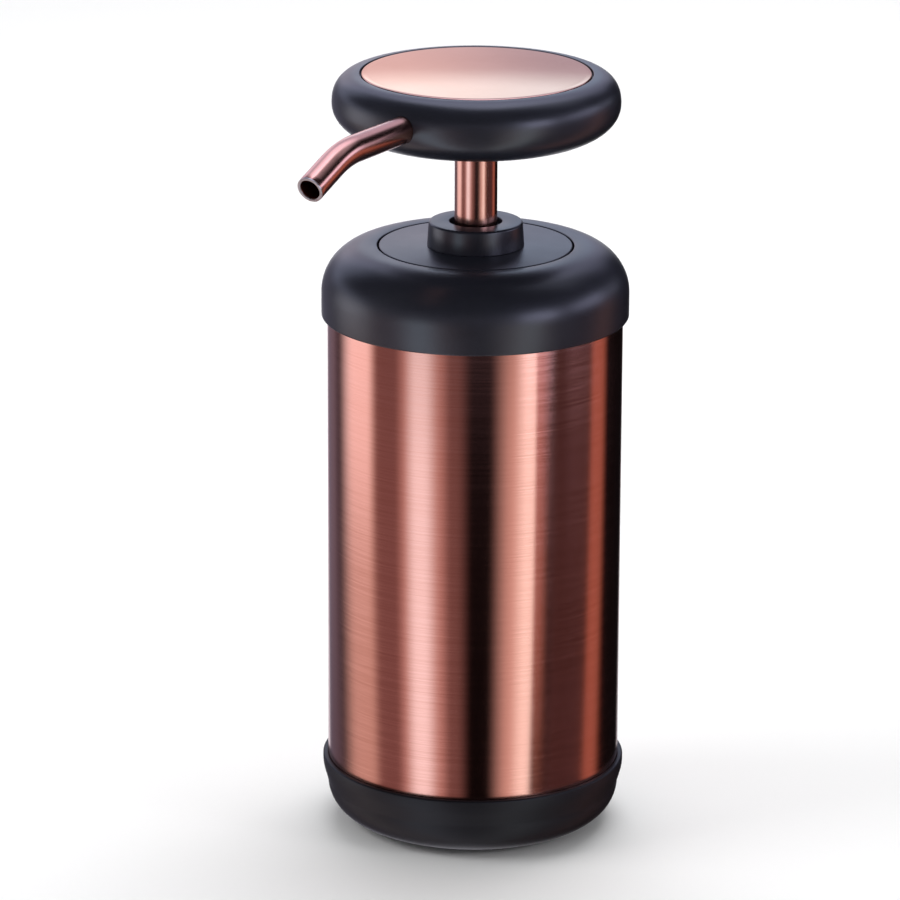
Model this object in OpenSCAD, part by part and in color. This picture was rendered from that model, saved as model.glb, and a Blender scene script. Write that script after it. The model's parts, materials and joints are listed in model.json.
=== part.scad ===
// Pump soap dispenser: a metal sleeve between a moulded base and a shoulder cap, round a plastic
// bottle, with a lift-out lid that carries a two-ball pump and a flat press head with a spout.
// +Z is up, the axis of the bottle is Z, the foot stands on Z = 0 and the spout points to -Y.

/* [Sleeve] */
// Outer diameter of the metal sleeve
sleeve_d = 72; // [68:1:84]
// Length of the sleeve
sleeve_len = 120; // [100:1:180]
// Thickness of the sheet
sleeve_wall = 0.5; // [0.4:0.1:1]

/* [Base] */
// How far the base rim stands proud of the sleeve
base_lip = 1.25; // [0.6:0.05:2]
// Height of the base rim above the table
base_h = 16.5; // [14:0.5:26]
// Depth of the groove that holds the sleeve
base_groove = 4; // [2:0.5:6]
// Height of the base's rounded lower edge
base_round_h = 9; // [5:0.5:10]
// Width of the base's rounded lower edge
base_round_w = 10; // [5:0.5:14]
// Thickness of the moulded walls
shell_wall = 2; // [1.6:0.1:3]
// Thickness of the non-slip pad
pad_t = 1.4; // [1:0.1:2.4]
// How far the pad stands out of the base
pad_out = 0.6; // [0.3:0.1:0.8]
// Number of ribs under the bottle
base_ribs = 8; // [4:1:16]

/* [Shoulder cap] */
// How far the cap stands proud of the sleeve
cap_lip = 1.45; // [0.8:0.05:2.5]
// Height of the cap
cap_h = 17.5; // [16:0.5:30]
// Radius of the big rounded shoulder
cap_round = 11.5; // [6:0.5:13]
// Width of the flat ring between the shoulder and the lid's seam
cap_flat = 2.05; // [1:0.05:4]
// Depth of the groove that holds the sleeve
cap_groove = 3.3; // [2:0.1:5]
// Number of stiffening ribs inside the cap
cap_ribs = 12; // [6:1:24]

/* [Lid] */
// Thickness of the lid's top
lid_t = 2; // [1.6:0.1:2.6]
// Depth of the lid's skirt
skirt_h = 6.5; // [4:0.5:8]
// Thickness of the lid's skirt
skirt_t = 1.7; // [1.2:0.1:2]
// Width of the seam round the lid
seam = 0.4; // [0.2:0.05:0.6]
// Height of the lid's spigot that carries the pump
spigot_h = 3; // [2.5:0.1:5]

/* [Bottle] */
// Wall of the bottle
bottle_wall = 1.2; // [0.8:0.1:2]
// Space between the sleeve and the bottle
bottle_gap = 1.9; // [1.5:0.1:4]
// Outer radius of the bottle's shoulder
bottle_round = 9; // [6:0.5:12]
// Height of the bottle's neck
neck_h = 7.5; // [6:0.5:10]
// Thickness of the lid's gasket
gasket_t = 1.2; // [0.8:0.1:2]

/* [Pump] */
// Stroke of the press head
stroke = 18; // [10:1:20]
// Gap that is left under the head when it is pressed
press_gap = 2.5; // [1:0.1:8]
// Bore of the pump's cylinder
bore_d = 12.6; // [12:0.1:13.6]
// Wall of the pump's cylinder
cylinder_wall = 1.3; // [1:0.1:1.6]
// Height of the piston
piston_h = 7; // [5:0.5:9]
// Diameter of the inlet ball
inlet_ball_d = 6.4; // [5.6:0.1:7]
// Diameter of the outlet ball
outlet_ball_d = 5; // [4.6:0.1:5.2]
// Travel of the inlet ball
inlet_travel = 2; // [1:0.1:3]
// Travel of the outlet ball
outlet_travel = 1.4; // [0.8:0.1:2]
// Outer diameter of the dip tube
dip_d = 5.2; // [4:0.1:6.4]
// Wall of the dip tube
dip_wall = 0.8; // [0.6:0.1:1]

/* [Spring] */
// Wire of the return spring
spring_wire = 0.9; // [0.6:0.1:1.2]
// Number of turns of the spring
spring_turns = 9; // [6:1:12]
// Length of the spring when the head is up
spring_len = 36; // [34:1:44]

/* [Nut and stem] */
// Diameter of the nut's top
nut_top_d = 22.8; // [22:0.1:28]
// How much wider the nut is at its foot
nut_flare = 0.8; // [0:0.1:2]
// Height of the nut
nut_h = 6; // [5.6:0.1:9]
// Hole in the nut
nut_hole_d = 12.8; // [12.4:0.1:13]
// Diameter of the stem's metal sleeve
stem_d = 10.4; // [10:0.1:10.8]
// Wall of the stem's metal sleeve
stem_wall = 0.6; // [0.4:0.1:0.8]

/* [Head] */
// Diameter of the press head
head_d = 69.8; // [60:0.1:80]
// Height of the press head
head_h = 16.2; // [15.9:0.1:22]
// Height of the widest ring above the head's underside
head_belly = 9.1; // [8.5:0.1:10.4]
// Width of the rounded lower flank
head_low_w = 15.4; // [8:0.1:16]
// Radius of the rounded upper flank
head_top_w = 7; // [5:0.1:7]
// Diameter of the disc in the head's top
disc_d = 55.6; // [40:0.1:55.6]
// Thickness of the disc
disc_t = 0.8; // [0.6:0.1:0.9]
// How far the middle of the disc bulges above its edge
disc_crown = 0.5; // [0:0.1:0.8]
// Width of the dark seam round the disc
disc_seam = 0.35; // [0.2:0.05:0.6]

/* [Spout] */
// Outer diameter of the spout
spout_d = 6.6; // [5.4:0.1:6.8]
// Wall of the spout
spout_wall = 0.7; // [0.4:0.1:0.8]
// How far the spout reaches from the axis before its bend
spout_run = 55; // [44:1:70]
// Bend radius of the spout's centre line
spout_bend = 29; // [20:1:60]
// Angle of the bend
spout_angle = 21.5; // [5:0.5:45]
// Straight length after the bend
spout_end = 10; // [4:0.5:30]

/* [Hidden] */

// Roundness of true circles, of the profiles that formulas draw, and of the balls
facets = 64;
arc_steps = 14;
// Overrun of a cut past a face
cut = 1;
// Gaps: a fixed seat, a running fit, pieces that pass each other, and a loose valve ball
fit = 0.05;
run = 0.05;
clear = 0.3;
ball_gap = 0.7;
ball_lift = 0.05;

// Sleeve
sleeve_r = sleeve_d / 2;
sleeve_in = sleeve_r - sleeve_wall;
sleeve_z = base_h - base_groove;
sleeve_top = sleeve_z + sleeve_len;

// Base
base_r = sleeve_r + base_lip;
base_foot_r = base_r - base_lip - base_round_w;
base_rim_h = 2.5;
rim_bevel = 0.3;
spigot_t = 1.2;
spigot_rise = 3.5;
pad_r = base_foot_r - shell_wall / 2;
pad_edge = 0.3;
floor_z = pad_t + shell_wall;
rib_h = 1.6;
rib_t = 1.4;
rib_start_share = 0.25;
bottle_z = floor_z + rib_h;

// Cap
cap_z = sleeve_top - cap_groove;
cap_r = sleeve_r + cap_lip;
cap_top = cap_z + cap_h;
cap_spigot = 3;
well_r = cap_r - cap_round - cap_flat;
well_out = well_r + shell_wall;
cap_rib_len = cap_r - cap_round / 2 - well_out;

// Lid
lid_r = well_r - seam;
lid_edge = 0.3;
lid_under = cap_top - lid_t;
skirt_z = lid_under - skirt_h;
skirt_inset = 0.75;
skirt_out = lid_r - skirt_inset;
skirt_in = skirt_out - skirt_t;
thread_gap = 1.1;
neck_r = skirt_in - thread_gap;

// Bottle
bottle_r = sleeve_in - bottle_gap;
rim_z = lid_under - gasket_t;
shoulder_z = rim_z - neck_h;
mouth_r = neck_r - bottle_wall;
bottle_foot_r = 4;
foot_bend_share = 0.3;
push_up_share = 0.75;
push_up_h = 1.4;
well_foot = shoulder_z + clear;

// Pump, from the flange down
bore_r = bore_d / 2;
barrel_r = bore_r + cylinder_wall;
spigot_r = barrel_r + run + fit;
washer_t = 0.8;
flange_t = 1;
flange_r = spigot_r + shell_wall;
flange_z = cap_top + spigot_h + washer_t;
counterbore_share = 0.6;
counterbore_r = bore_r + counterbore_share * cylinder_wall;
body_top = flange_z + flange_t;
nut_top_r = nut_top_d / 2;
nut_foot_r = nut_top_r + nut_flare / 2;
nut_z = cap_top;
nut_top = nut_z + nut_h;
nut_bevel = 0.5;
nut_hole_r = nut_hole_d / 2;
bush_flange = flange_t - fit;
stem_r = stem_d / 2;
bush_bore = stem_r + run;
head_z = nut_top + press_gap + stroke;
piston_top = body_top - flange_t - piston_h - clear;
bush_foot = piston_top + clear;
piston_z = piston_top - piston_h;
spring_z = piston_z - spring_len;
cage_t = 3;
cage_z = spring_z - cage_t;
inlet_r = inlet_ball_d / 2;
cage_hole_share = 0.72;
cage_hole_r = inlet_r * cage_hole_share;
chamber_r = inlet_r + ball_gap;
// A ball rests on a 45 degree seat: its centre is this share of its radius, twice, over the touch
seat_share = sin(45);
inlet_hole_share = 0.55;
inlet_hole_r = inlet_r * inlet_hole_share;
seat_rise = chamber_r - inlet_hole_r;
inlet_stop = sqrt(pow(inlet_r, 2) - pow(cage_hole_r, 2));
inlet_centre = cage_z - inlet_stop - ball_lift - inlet_travel;
inlet_seat_z = inlet_centre - ball_lift - 2 * inlet_r * seat_share + inlet_hole_r;
chamber_wall = 1.5;
socket_len = 12;
socket_wall = 1.3;
dip_r = dip_d / 2;
inlet_throat = 2;
socket_top = inlet_seat_z - inlet_throat;
socket_z = socket_top - socket_len;
dip_gap = 2.6;
dip_slant = 30;
dip_z = bottle_z + bottle_wall + push_up_h + dip_gap;
vent_r = 0.6;
vent_drop = 1.8;
lip_h = 0.8;
lip_slope_h = 0.7;
piston_waist = 0.9;

// Spring: a coil between two closed turns, whose rings are counted along it
spring_r = bore_r - spring_wire / 2 - clear;
spring_sides = 6;
spring_rings = 8;
ring_count = spring_turns * spring_rings;
dead_share = 0.09;
function ease(t) = t < dead_share ? 0 : t > 1 - dead_share ? 1 : (t - dead_share) / (1 - 2 * dead_share);
function coil_z(t) = spring_z + spring_wire / 2 + t * spring_wire * 2 * dead_share * spring_turns
    + ease(t) * (spring_len - spring_wire * (1 + 2 * dead_share * spring_turns));
function coil_point(i, j) =
    let(t = i / ring_count, a = 360 * t * spring_turns, b = 360 * j / spring_sides)
    let(r = spring_r + spring_wire / 2 * cos(b))
    [r * cos(a), r * sin(a), coil_z(t) + spring_wire / 2 * sin(b)];
live_turn = 1 / spring_turns;
live_pitch = coil_z(0.5 + live_turn / 2) - coil_z(0.5 - live_turn / 2);
echo(spring_gap = live_pitch - spring_wire);

// Stem and its valve
stem_in = stem_r - stem_wall;
rod_r = stem_in - fit;
rod_bore = 1.9;
rod_seat_share = 0.74;
rod_seat_r = rod_r * rod_seat_share;
rod_tip_h = 2;
rod_foot = piston_z - rod_tip_h;
clip_t = 1.6;
rod_depth = 8.7;
rod_top = head_z + head_h - rod_depth;
outlet_r = outlet_ball_d / 2;
outlet_gap = 0.5;
outlet_chamber_r = outlet_r + outlet_gap;
outlet_hole_share = 0.6;
outlet_hole_r = outlet_r * outlet_hole_share;
nose_h = 1.9;
channel_r = 1.5;
outlet_stop = sqrt(pow(outlet_r, 2) - pow(channel_r, 2));
outlet_centre = rod_top - nose_h - outlet_stop - ball_lift - outlet_travel;
outlet_seat_z = outlet_centre - ball_lift - 2 * outlet_r * seat_share + outlet_hole_r;
nose_r = outlet_chamber_r - clear / 2;
rod_bare_h = 3;
tube_top = rod_top - rod_bare_h;

// Head
head_r = head_d / 2;
head_top = head_z + head_h;
belly_z = head_z + head_belly;
head_wall = 2;
low_square = 2.12;
top_square = 2.3;
plate_r = 20;
plate_t = 1.5;
plate_step = 1.5;
head_ribs = 6;
snap_h = 1.3;
head_floor = head_z + plate_t + snap_h;
disc_r = disc_d / 2;
pad_glue_t = 0.2;
recess_z = head_top - disc_t - pad_glue_t;
recess_r = disc_r + disc_seam;
roof_t = 1;
head_roof = recess_z - roof_t;
boss_bore = stem_r + 2 * run;
boss_wall = 2.3;
boss_r = boss_bore + boss_wall;
boss_h = 5;
boss_top = head_z + boss_h;
elbow_r = 6.6;
elbow_top = head_roof - 2 * fit;

// Spout
spout_r = spout_d / 2;
spout_in = spout_r - spout_wall;
spout_drop = 1.55;
spout_z = head_roof - clear / 2 - spout_r - spout_drop;
seal_t = 0.8;
spout_root = elbow_r + seal_t;
nipple_r = spout_in - fit;
nipple_len = 8;
// The end stretch laps over the bend by this much, along and across
end_lap = 0.01;

// A quarter of a squared-off ellipse, from its top (a = 0) to its side (a = 90)
function bulge(a, w, h, square) = [w * pow(sin(a), 2 / square), h * pow(cos(a), 2 / square)];

// Rounded flank points from the top face out to the belly, and from the belly down and in
function upper_flank(r, z, w, h) = [
    for (i = [0 : arc_steps])
        let(p = bulge(90 * i / arc_steps, w, h, top_square))
        [r - w + p[0], z + p[1]]
];
function lower_flank(r, z, w, h) = [
    for (i = [arc_steps : -1 : 0])
        let(p = bulge(90 * i / arc_steps, w, h, low_square))
        [r - w + p[0], z - p[1]]
];

// A flat ring between two radii
module ring(r_out, r_in, z, h) {
    rotate_extrude($fn = facets)
        translate([r_in, z])
            square([r_out - r_in, h]);
}

// A straight bore or pin along Z
module rod(r, z, h) {
    translate([0, 0, z])
        cylinder(r = r, h = h, $fn = facets);
}

// A full profile turned round Z
module turned(points) {
    rotate_extrude($fn = facets)
        polygon(points);
}

// Pad under the base, with a small bevel on its edge
module foot_pad() {
    color([0.13, 0.13, 0.14])
        turned([
            [0, 0],
            [pad_r - pad_edge, 0],
            [pad_r, pad_edge],
            [pad_r, pad_t],
            [0, pad_t]
        ]);
}

// Black base: rounded foot, slightly flared rim, a groove for the sleeve and ribs for the bottle
module base_cup() {
    groove_in = sleeve_in - fit;
    groove_out = sleeve_r + fit;
    cup_in = groove_in - spigot_t;
    inside_h = base_round_h + pad_out - floor_z;
    outside = [
        for (i = [0 : arc_steps])
            let(a = 90 * i / arc_steps)
            [base_foot_r + base_round_w * sin(a), pad_out + base_round_h * (1 - cos(a))]
    ];
    inside = [
        for (i = [arc_steps : -1 : 0])
            let(a = 90 * i / arc_steps)
            [base_foot_r + (cup_in - base_foot_r) * sin(a), floor_z + inside_h * (1 - cos(a))]
    ];
    color([0.1, 0.1, 0.11]) {
        difference() {
            turned(concat(
                [[0, pad_out]],
                outside,
                [
                    [base_r, base_h - base_rim_h],
                    [base_r, base_h - rim_bevel],
                    [base_r - rim_bevel, base_h],
                    [groove_out, base_h],
                    [groove_out, sleeve_z],
                    [groove_in, sleeve_z],
                    [groove_in, base_h + spigot_rise],
                    [cup_in, base_h + spigot_rise]
                ],
                inside,
                [[0, floor_z]]
            ));
            rod(pad_r + fit, pad_out - cut, pad_t - pad_out + cut);
        }
        for (i = [0 : base_ribs - 1])
            rotate([0, 0, 360 * i / base_ribs])
                translate([rib_start_share * bottle_r, -rib_t / 2, floor_z])
                    cube([bottle_r * (1 - rib_start_share) - bottle_foot_r, rib_t, rib_h]);
    }
}

// Brushed metal tube
module sleeve() {
    color([0.78, 0.47, 0.38])
        ring(sleeve_r, sleeve_in, sleeve_z, sleeve_len);
}

// Bottle: rounded shoulder, short wide neck with a bead, and a pushed-up bottom
module inner_bottle() {
    outside = [
        for (i = [0 : arc_steps])
            let(a = 90 * i / arc_steps)
            [bottle_r - bottle_round * (1 - cos(a)), shoulder_z - bottle_round * (1 - sin(a))]
    ];
    inside = [
        for (i = [arc_steps : -1 : 0])
            let(a = 90 * i / arc_steps, r = bottle_round - bottle_wall)
            [bottle_r - bottle_wall - r * (1 - cos(a)), shoulder_z - bottle_wall - r * (1 - sin(a))]
    ];
    push_up_r = bottle_r * push_up_share;
    color([0.9, 0.9, 0.88, 0.5])
        turned(concat(
            [
                [0, bottle_z + push_up_h],
                [push_up_r - push_up_h, bottle_z + push_up_h],
                [push_up_r, bottle_z],
                [bottle_r - bottle_foot_r, bottle_z],
                [bottle_r - bottle_foot_r * foot_bend_share, bottle_z + bottle_foot_r * foot_bend_share],
                [bottle_r, bottle_z + bottle_foot_r]
            ],
            outside,
            [
                [neck_r, shoulder_z],
                [neck_r, rim_z],
                [mouth_r, rim_z],
                [mouth_r, shoulder_z - bottle_wall]
            ],
            inside,
            [
                [bottle_r - bottle_wall, bottle_z + bottle_foot_r],
                [bottle_r - bottle_foot_r, bottle_z + bottle_wall],
                [push_up_r, bottle_z + bottle_wall],
                [push_up_r - push_up_h, bottle_z + bottle_wall + push_up_h],
                [0, bottle_z + bottle_wall + push_up_h]
            ]
        ));
}

// Black shoulder cap: straight rim, big rounded shoulder, a well for the lid and a groove below
module shoulder_cap() {
    groove_in = sleeve_in - fit;
    groove_out = sleeve_r + fit;
    skin_in = groove_in - spigot_t;
    round_r = cap_r - cap_round;
    round_z = cap_top - cap_round;
    round_in = cap_round - shell_wall;
    color([0.1, 0.1, 0.11]) {
        rotate_extrude($fn = facets) {
            difference() {
                union() {
                    // Outer wall up to the shoulder, with the spigot inside the sleeve
                    translate([skin_in, cap_z])
                        square([cap_r - skin_in, round_z - cap_z]);
                    translate([skin_in, cap_z - cap_spigot])
                        square([groove_in - skin_in, cap_spigot + cut]);
                    // Rounded shoulder
                    intersection() {
                        translate([round_r, round_z])
                            circle(r = cap_round, $fn = facets * 2);
                        translate([round_r, round_z])
                            square(cap_round);
                    }
                }
                // Hollow of the shoulder
                translate([round_r, round_z])
                    intersection() {
                        circle(r = round_in, $fn = facets * 2);
                        translate([-cut, -cut])
                            square(cap_round);
                    }
                // Groove for the sleeve
                translate([groove_in, cap_z - cut])
                    square([groove_out - groove_in, cap_groove + cut]);
            }
            // Flat top and the wall of the lid's well
            translate([well_r, cap_top - shell_wall])
                square([round_r - well_r + fit, shell_wall]);
            translate([well_r, well_foot])
                square([shell_wall, cap_top - well_foot]);
        }
        for (i = [0 : cap_ribs - 1])
            rotate([0, 0, 360 * (i + 0.5) / cap_ribs])
                translate([well_out - fit, -rib_t / 2, round_z + round_in / 2])
                    cube([cap_rib_len, rib_t, round_in / 2 + fit]);
    }
}

// Lid: flush disc, skirt over the bottle's neck, and a spigot that carries the pump
module closure_lid() {
    color([0.1, 0.1, 0.11])
        turned([
            [spigot_r, lid_under],
            [skirt_in, lid_under],
            [skirt_in, skirt_z],
            [skirt_out, skirt_z],
            [skirt_out, lid_under - lid_edge],
            [lid_r, lid_under],
            [lid_r, cap_top - lid_edge],
            [lid_r - lid_edge, cap_top],
            [flange_r, cap_top],
            [flange_r, cap_top + spigot_h],
            [spigot_r, cap_top + spigot_h]
        ]);
}

// Soft ring between the bottle's rim and the lid
module lid_gasket() {
    color([0.75, 0.75, 0.73])
        ring(neck_r, mouth_r, rim_z, gasket_t);
}

// Collar nut: slightly conical, bevelled, open at the top for the stem
module pump_nut() {
    nut_in = flange_r + clear / 2;
    color([0.1, 0.1, 0.11])
        turned([
            [nut_in, nut_z],
            [nut_foot_r, nut_z],
            [nut_top_r, nut_top - nut_bevel],
            [nut_top_r - nut_bevel, nut_top],
            [nut_hole_r, nut_top],
            [nut_hole_r, body_top],
            [nut_in, body_top]
        ]);
}

// Washer between the lid's spigot and the pump's flange
module flange_gasket() {
    color([0.75, 0.75, 0.73])
        ring(flange_r, spigot_r, cap_top + spigot_h, flange_z - cap_top - spigot_h);
}

// Bush that guides the stem, held down by the nut
module guide_bush() {
    color([0.12, 0.12, 0.13])
        turned([
            [bush_bore, bush_foot],
            [bore_r - fit, bush_foot],
            [bore_r - fit, flange_z],
            [counterbore_r - fit, flange_z],
            [counterbore_r - fit, flange_z + bush_flange],
            [bush_bore, flange_z + bush_flange]
        ]);
}

// Cylinder: flange, bore, ball chamber with its seat, and the socket for the dip tube
module pump_body() {
    chamber_out = chamber_r + chamber_wall;
    socket_out = dip_r + fit + socket_wall;
    seat_top = inlet_seat_z + seat_rise;
    color([0.9, 0.9, 0.9, 0.6])
        difference() {
            turned([
                [dip_r + fit, socket_z],
                [socket_out, socket_z],
                [socket_out, socket_top - socket_wall],
                [chamber_out, inlet_seat_z],
                [chamber_out, cage_z - cylinder_wall * 2],
                [barrel_r, cage_z],
                [barrel_r, flange_z],
                [flange_r, flange_z],
                [flange_r, body_top],
                [counterbore_r, body_top],
                [counterbore_r, flange_z],
                [bore_r, flange_z],
                [bore_r, cage_z],
                [chamber_r, cage_z],
                [chamber_r, seat_top],
                [inlet_hole_r, inlet_seat_z],
                [inlet_hole_r, socket_top],
                [dip_r + fit, socket_top]
            ]);
            translate([0, 0, bush_foot - vent_drop])
                rotate([90, 0, 0])
                    cylinder(r = vent_r, h = barrel_r + cut, $fn = facets / 2);
        }
}

// Seat of the spring: a ring with a low collar, whose slots let the soap past the raised ball
module ball_cage() {
    collar_r = bore_r - fit - spring_wire - clear * 2;
    color([0.85, 0.85, 0.85])
        difference() {
            turned([
                [cage_hole_r, cage_z],
                [bore_r - fit, cage_z],
                [bore_r - fit, spring_z],
                [collar_r, spring_z],
                [collar_r - cage_t / 3, spring_z + cage_t / 2],
                [cage_hole_r, spring_z + cage_t / 2]
            ]);
            for (a = [0, 90])
                rotate([0, 0, a])
                    translate([-chamber_r, -rib_t / 2, cage_z - cut])
                        cube([chamber_r * 2, rib_t, cage_t / 2 + cut]);
        }
}

// Steel ball on its seat in the cylinder
module inlet_ball() {
    color([0.8, 0.8, 0.82])
        translate([0, 0, inlet_centre])
            sphere(r = inlet_r, $fn = facets);
}

// Tube to the bottom of the bottle, cut at a slant
module dip_tube() {
    color([0.92, 0.92, 0.92, 0.7])
        difference() {
            ring(dip_r, dip_r - dip_wall, dip_z, socket_top - dip_z);
            translate([0, -dip_r, dip_z])
                rotate([dip_slant, 0, 0])
                    translate([-dip_d, 0, -dip_d * 2])
                        cube(dip_d * 2);
        }
}

// Compression spring: one unbroken tube along a helix that lies flat at both ends
module return_spring() {
    points = [for (i = [0 : ring_count], j = [0 : spring_sides - 1]) coil_point(i, j)];
    walls = [
        for (i = [0 : ring_count - 1], j = [0 : spring_sides - 1])
            let(a = i * spring_sides + j, b = i * spring_sides + (j + 1) % spring_sides)
            each [[a, a + spring_sides, b], [b, a + spring_sides, b + spring_sides]]
    ];
    first = [for (j = [1 : spring_sides - 2]) [0, j, j + 1]];
    last_ring = ring_count * spring_sides;
    last = [for (j = [1 : spring_sides - 2]) [last_ring, last_ring + j + 1, last_ring + j]];
    color([0.75, 0.76, 0.78])
        polyhedron(points = points, faces = concat(walls, first, last), convexity = 8);
}

// Piston with two lips, on the foot of the stem
module piston() {
    lip_r = bore_r - run;
    waist_r = bore_r - piston_waist;
    color([0.88, 0.88, 0.86])
        turned([
            [rod_seat_r, piston_z],
            [lip_r - lip_h, piston_z],
            [lip_r, piston_z + lip_slope_h],
            [lip_r, piston_z + lip_slope_h + lip_h],
            [waist_r, piston_z + 2 * lip_slope_h + lip_h],
            [waist_r, piston_top - 2 * lip_slope_h - lip_h],
            [lip_r, piston_top - lip_slope_h - lip_h],
            [lip_r, piston_top - lip_slope_h],
            [lip_r - lip_h, piston_top],
            [rod_seat_r, piston_top]
        ]);
}

// Hollow stem with a clip below the piston and the outlet valve's chamber at its top
module stem() {
    seat_top = outlet_seat_z + outlet_chamber_r - outlet_hole_r;
    color([0.88, 0.88, 0.86])
        turned([
            [rod_bore, rod_foot],
            [rod_seat_r, rod_foot],
            [rod_r - fit, piston_z - clip_t / 2],
            [rod_r - fit, piston_z],
            [rod_seat_r, piston_z],
            [rod_seat_r, piston_top],
            [rod_r, piston_top],
            [rod_r, rod_top],
            [outlet_chamber_r, rod_top],
            [outlet_chamber_r, seat_top],
            [outlet_hole_r, outlet_seat_z],
            [outlet_hole_r, outlet_seat_z - clip_t],
            [rod_bore, outlet_seat_z - clip_t * 1.5]
        ]);
}

// Bright metal tube over the stem
module stem_sleeve() {
    color([0.8, 0.5, 0.42])
        ring(stem_r, stem_in, piston_top, tube_top - piston_top);
}

// Steel ball on its seat in the stem
module outlet_ball() {
    color([0.8, 0.8, 0.82])
        translate([0, 0, outlet_centre])
            sphere(r = outlet_r, $fn = facets);
}

// Press head: a hollow pebble with a recess for the disc and a rabbet for the plate below
module head_shell() {
    inner_r = head_r - head_wall;
    inner_low_w = head_low_w - head_wall;
    inner_low_h = belly_z - head_floor;
    inner_top_h = head_roof - belly_z;
    inner_top_w = head_top_w - head_wall / 2;
    color([0.11, 0.11, 0.12])
        difference() {
            rotate_extrude($fn = facets)
                difference() {
                    polygon(concat(
                        [[0, head_top]],
                        upper_flank(head_r, belly_z, head_top_w, head_top - belly_z),
                        lower_flank(head_r, belly_z, head_low_w, head_belly),
                        [[0, head_z]]
                    ));
                    // Hollow
                    polygon(concat(
                        [[0, head_roof]],
                        upper_flank(inner_r, belly_z, inner_top_w, inner_top_h),
                        lower_flank(inner_r, belly_z, inner_low_w, inner_low_h),
                        [[0, head_floor]]
                    ));
                    // Recess for the disc
                    translate([0, recess_z])
                        square([recess_r, head_top - recess_z + cut]);
                    // Rabbet and opening for the plate
                    translate([0, head_z - cut])
                        square([plate_r + fit, plate_t + cut]);
                    translate([0, head_z])
                        square([plate_r - plate_step + fit, head_floor - head_z + fit]);
                }
            // Hole for the spout
            translate([0, 0, spout_z])
                rotate([90, 0, 0])
                    cylinder(r = spout_r + fit, h = head_r + cut, $fn = facets);
        }
}

// Plate under the head: the boss round the stem, a snap rim, and ribs between the two
module head_base() {
    rim_r = plate_r - plate_step;
    color([0.11, 0.11, 0.12]) {
        turned([
            [boss_bore, head_z],
            [plate_r, head_z],
            [plate_r, head_z + plate_t],
            [rim_r, head_z + plate_t],
            [rim_r, head_floor],
            [rim_r - head_wall, head_floor],
            [rim_r - head_wall, head_z + plate_t],
            [boss_r, head_z + plate_t],
            [boss_r, boss_top],
            [boss_bore, boss_top]
        ]);
        for (i = [0 : head_ribs - 1])
            rotate([0, 0, 360 * (i + 0.5) / head_ribs])
                translate([boss_r - fit, -rib_t / 2, head_z + plate_t - fit])
                    cube([rim_r - boss_r - head_wall / 2, rib_t, head_floor - head_z - plate_t]);
    }
}

// Channel piece: a socket on the stem, a nose over the outlet ball and a nipple into the spout
module elbow() {
    socket_r = rod_r + run;
    socket_roof = rod_top + 2 * run;
    color([0.3, 0.3, 0.32])
        difference() {
            union() {
                rod(elbow_r, boss_top, elbow_top - boss_top);
                translate([0, 0, spout_z])
                    rotate([90, 0, 0])
                        cylinder(r = nipple_r, h = spout_root + nipple_len, $fn = facets);
            }
            // Socket round the stem, which leaves the nose standing in the valve's chamber
            difference() {
                rod(socket_r, boss_top - cut, socket_roof - boss_top + cut);
                rod(nose_r, rod_top - nose_h, socket_roof - rod_top + nose_h + cut);
            }
            rod(channel_r, rod_top - nose_h - cut, spout_z - rod_top + nose_h + cut);
            translate([0, 0, spout_z])
                rotate([90, 0, 0])
                    cylinder(r = channel_r, h = spout_root + nipple_len + cut, $fn = facets);
        }
}

// Section of the spout's wall, drawn round the origin; a lap makes it thicker both ways
module spout_section(lap = 0) {
    difference() {
        circle(r = spout_r + lap, $fn = facets);
        circle(r = spout_in - lap, $fn = facets);
    }
}

// Straight stretch of the spout, along -Y
module spout_straight(len, lap = 0) {
    rotate([90, 0, 0])
        rotate([0, 0, 90])
            linear_extrude(len)
                spout_section(lap);
}

// Bent metal tube with an open, square-cut mouth: out along -Y, round the bend, down to the mouth
module spout() {
    color([0.8, 0.5, 0.42]) {
        translate([0, -spout_root, spout_z])
            spout_straight(spout_run - spout_root);
        translate([0, -spout_run, spout_z - spout_bend]) {
            rotate([180, -90, 0])
                rotate_extrude(angle = spout_angle, $fn = facets * 2)
                    translate([spout_bend, 0])
                        spout_section();
            rotate([spout_angle, 0, 0])
                translate([0, end_lap, spout_bend])
                    spout_straight(spout_end + end_lap, end_lap);
        }
    }
}

// Washer on the nipple, between the elbow and the spout's root
module spout_seal() {
    color([0.75, 0.75, 0.73])
        translate([0, -elbow_r - fit, spout_z])
            rotate([90, 0, 0])
                difference() {
                    cylinder(r = spout_r, h = seal_t - 2 * fit, $fn = facets);
                    translate([0, 0, -cut])
                        cylinder(r = nipple_r + fit, h = seal_t + 2 * cut, $fn = facets);
                }
}

// Adhesive pad under the disc
module disc_pad() {
    color([0.9, 0.9, 0.88])
        rod(disc_r - disc_t, recess_z, pad_glue_t);
}

// Metal disc with a bevelled edge and a slightly domed face
module head_disc() {
    disc_z = recess_z + pad_glue_t;
    bevel = disc_t / 4;
    face_r = disc_r - bevel;
    face = [
        for (i = [0 : arc_steps])
            let(share = i / arc_steps)
            [face_r * (1 - share), disc_z + disc_t + disc_crown * (1 - pow(1 - share, 2))]
    ];
    color([0.86, 0.62, 0.56])
        turned(concat([[0, disc_z], [disc_r, disc_z], [disc_r, disc_z + disc_t - bevel]], face));
}

foot_pad();
base_cup();
sleeve();
inner_bottle();
shoulder_cap();
closure_lid();
lid_gasket();
pump_nut();
flange_gasket();
guide_bush();
pump_body();
ball_cage();
inlet_ball();
dip_tube();
return_spring();
piston();
stem();
stem_sleeve();
outlet_ball();
head_shell();
head_base();
elbow();
spout();
spout_seal();
disc_pad();
head_disc();
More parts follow.
